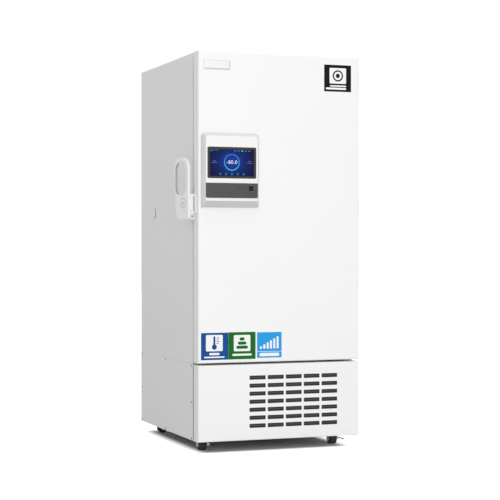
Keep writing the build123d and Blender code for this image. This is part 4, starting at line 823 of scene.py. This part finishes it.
arc_radius = 0.0475
arc_dots = 18
bm = bmesh.new()
for start, span in ((-0.4, 1.9), (1.9, 1.0), (3.4, 1.5)):
    for dot in range(arc_dots):
        turn = start + span * dot / arc_dots
        dot_x, dot_z = screen_x + arc_radius * cos(turn), ring_z + arc_radius * sin(turn)
        add_disc(bm, dot_x, dot_z, 0.0011, picture_front, skim, sides=6)
keep_piece("screen_arcs", bm, lit("faint_light", paint(58, 84, 170), 0.8), "door")

# %% [markdown]
# The reading is a text curve made into a mesh before it is set in place, so that its object can
# stay at the origin like every other piece. It is a plain number, as such displays show.

# %% Reading
def add_text(bm, words, x, z, size, back, thick):
    """Add words, as a mesh, to a bmesh; they face the front."""
    curve = bpy.data.curves.new("words", "FONT")
    curve.body = words
    curve.size = size
    curve.space_character = 1.12
    curve.extrude = thick / 2
    curve.align_x = "CENTER"
    curve.align_y = "CENTER"
    holder = bpy.data.objects.new("words", curve)
    bpy.context.scene.collection.objects.link(holder)
    bpy.context.view_layer.update()
    shown = holder.evaluated_get(bpy.context.evaluated_depsgraph_get())
    mesh = bpy.data.meshes.new_from_object(shown)
    bpy.data.objects.remove(holder)
    bpy.data.curves.remove(curve)
    mesh.transform(Matrix.Translation((x, back - thick / 2, z)) @ Matrix.Rotation(pi / 2, 4, "X"))
    bm.from_mesh(mesh)
    bpy.data.meshes.remove(mesh)


white_light = lit("white_light", paint(236, 240, 250), 1.0)
bm = bmesh.new()
add_text(bm, "-80.0", screen_x, ring_z, 0.0245, picture_front, skim)
keep_piece("screen_reading", bm, white_light, "door")

# %% [markdown]
# Small marks fill the rest of the screen: a row of controls at the foot, two lines at the top left,
# a row of status marks at the top right with one bright dot, and short lines beside the ring. They
# are simple shapes of this lesson's own.

# %% Small marks on the screen
foot = 1.3555
bm = bmesh.new()
for x in (-0.324, -0.2935, -0.2640, -0.2335, -0.203):
    add_disc(bm, x, foot, 0.0052, picture_front, skim, sides=20, inner=0.0036)
    add_plate(bm, x - 0.0008, x + 0.0008, foot - 0.002, foot + 0.006, picture_front, skim)
add_plate(bm, -0.375, -0.332, 1.4695, 1.4715, picture_front, skim)
add_plate(bm, -0.375, -0.362, 1.4645, 1.4665, picture_front, skim)
for step in range(5):
    left = -0.2535 + 0.0185 * step
    add_plate(bm, left, left + 0.011, 1.4655, 1.4700, picture_front, skim, corner=0.0018)
keep_piece("screen_marks", bm, lit("teal_light", paint(64, 150, 190), 0.8), "door")

bright = lit("bright_mark", paint(70, 210, 235), 1.0)
bm = bmesh.new()
add_disc(bm, -0.211, 1.4678, 0.0036, picture_front - skim, skim, sides=16)
keep_piece("screen_status", bm, bright, "door")

bm = bmesh.new()
for x in (-0.354, -0.173):
    add_plate(bm, x - 0.009, x + 0.009, 1.4165, 1.4190, picture_front, skim)
    add_plate(bm, x - 0.015, x + 0.015, 1.4085, 1.4105, picture_front, skim)
keep_piece("screen_lines", bm, lit("pale_light", paint(120, 130, 190), 0.7), "door")

# %% [markdown]
# A thin white lip frames the glass, and catches the light below and beside it. It is a rounded
# frame: the same plate helper, kept only along its border.

# %% Lip round the screen
strip_low, strip_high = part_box("port_strip")
face_front = strip_high.y
lip = 0.0022
bm = bmesh.new()
add_plate(
    bm, glass_low.x - lip, glass_high.x + lip, glass_low.z - lip, glass_high.z + lip,
    face_front, 0.0008, corner=0.0095, border=0.0024,
)
keep_piece("screen_lip", bm, finishes["housing_plastic"], "door")

# %% [markdown]
# On the dark strip are three small raised marks beside the port's flap. Six-sided rings of half a
# millimetre are enough at this size. The front of the strip's box is the flap's pin, which stands
# 0.6 mm out from the strip, so the marks start that much further back.

# %% Marks on the strip
mark_x, mark_z, mark_pitch = -0.231, 1.2885, 0.015
mark_back = strip_low.y + 0.0006
bm = bmesh.new()
for mark in range(3):
    add_disc(
        bm, mark_x + mark_pitch * mark, mark_z, 0.0042, mark_back, 0.0005, sides=6, inner=0.0026
    )
keep_piece("strip_marks", bm, ink("mark_grey", paint(58, 56, 57)), "door")

# %% [markdown]
# The lock's groove and the joint round the access port read as thin dark rings, painted shade in
# the groove and the gap. Each is a flat ring made facing the front, then turned about the upright
# axis and moved to its place.

# %% Rings on the handle and the side
def turned_ring(name, centre, turn, radius, inner, thick, material, body):
    """A flat ring round a centre, turned from the front by an angle in degrees."""
    bm = bmesh.new()
    add_disc(bm, 0, 0, radius, 0, thick, sides=64, inner=inner)
    placed = Matrix.Translation(centre) @ Matrix.Rotation(radians(turn), 4, "Z")
    bmesh.ops.transform(bm, matrix=placed, verts=list(bm.verts))
    keep_piece(name, bm, material, body)


lock_centre = (-0.47293, -0.40521, 1.216)
lever_turn = -73
side_turn = -90
# A ring of painted shade in the lock's groove.
turned_ring(
    "lock_groove", lock_centre, lever_turn, 0.0239, 0.0221, 0.0007,
    ink("groove_shade_grey", paint(120, 120, 121)), "lever",
)
port_low, port_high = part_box("access_port_sleeve")
port_radius = (port_high.y - port_low.y) / 2
port_centre = (-0.424, (port_low.y + port_high.y) / 2, (port_low.z + port_high.z) / 2)
# A ring of painted shade in the gap round the access port.
turned_ring(
    "port_seam", port_centre, side_turn, port_radius + 0.0028, port_radius + 0.0003, 0.0003,
    ink("seam_shade_grey", paint(112, 112, 112)), "cabinet",
)
print("port radius", round(port_radius, 4), "m")

# %% [markdown]
# The joint between the front panel and the machine compartment is dark in the photograph. Here a
# strip of foam seals it, which is a guess. It starts half a millimetre in front of the side cover's
# edge and ends 1.5 mm short of the panel.

# %% Foam strip behind the front panel
cover_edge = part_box("side_cover_left")[0].y
panel_low, panel_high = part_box("front_panel")
foam_deep = cover_edge - panel_high.y - 0.002
bm = bmesh.new()
add_plate(
    bm, -0.4215, -0.4050, panel_low.z + 0.004, panel_high.z - 0.002, cover_edge - 0.0005, foam_deep
)
keep_piece("panel_foam_strip", bm, finishes["jacket"], "cabinet")
print("foam", round(foam_deep, 4), "m deep")

# %% [markdown]
# Through every vent a lighter rib shows at mid height: the grid that backs the filter's pad. One
# thin bar per row lies on the pad.

# %% Ribs behind the vents
vent_x, vent_z, row_pitch = 0.073, 0.2476, 0.0392
rib_half = 0.236
rib_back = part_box("air_filter")[1].y - 0.003
bm = bmesh.new()
for row in range(-3, 4):
    level = vent_z + row_pitch * row
    add_plate(
        bm, vent_x - rib_half, vent_x + rib_half, level - 0.003, level + 0.003, rib_back, 0.002
    )
rib_grey = finish("rib_grey", paint(60, 60, 61), fine_skin, (900, 0.05, 0.5))
keep_piece("filter_ribs", bm, rib_grey, "panel")
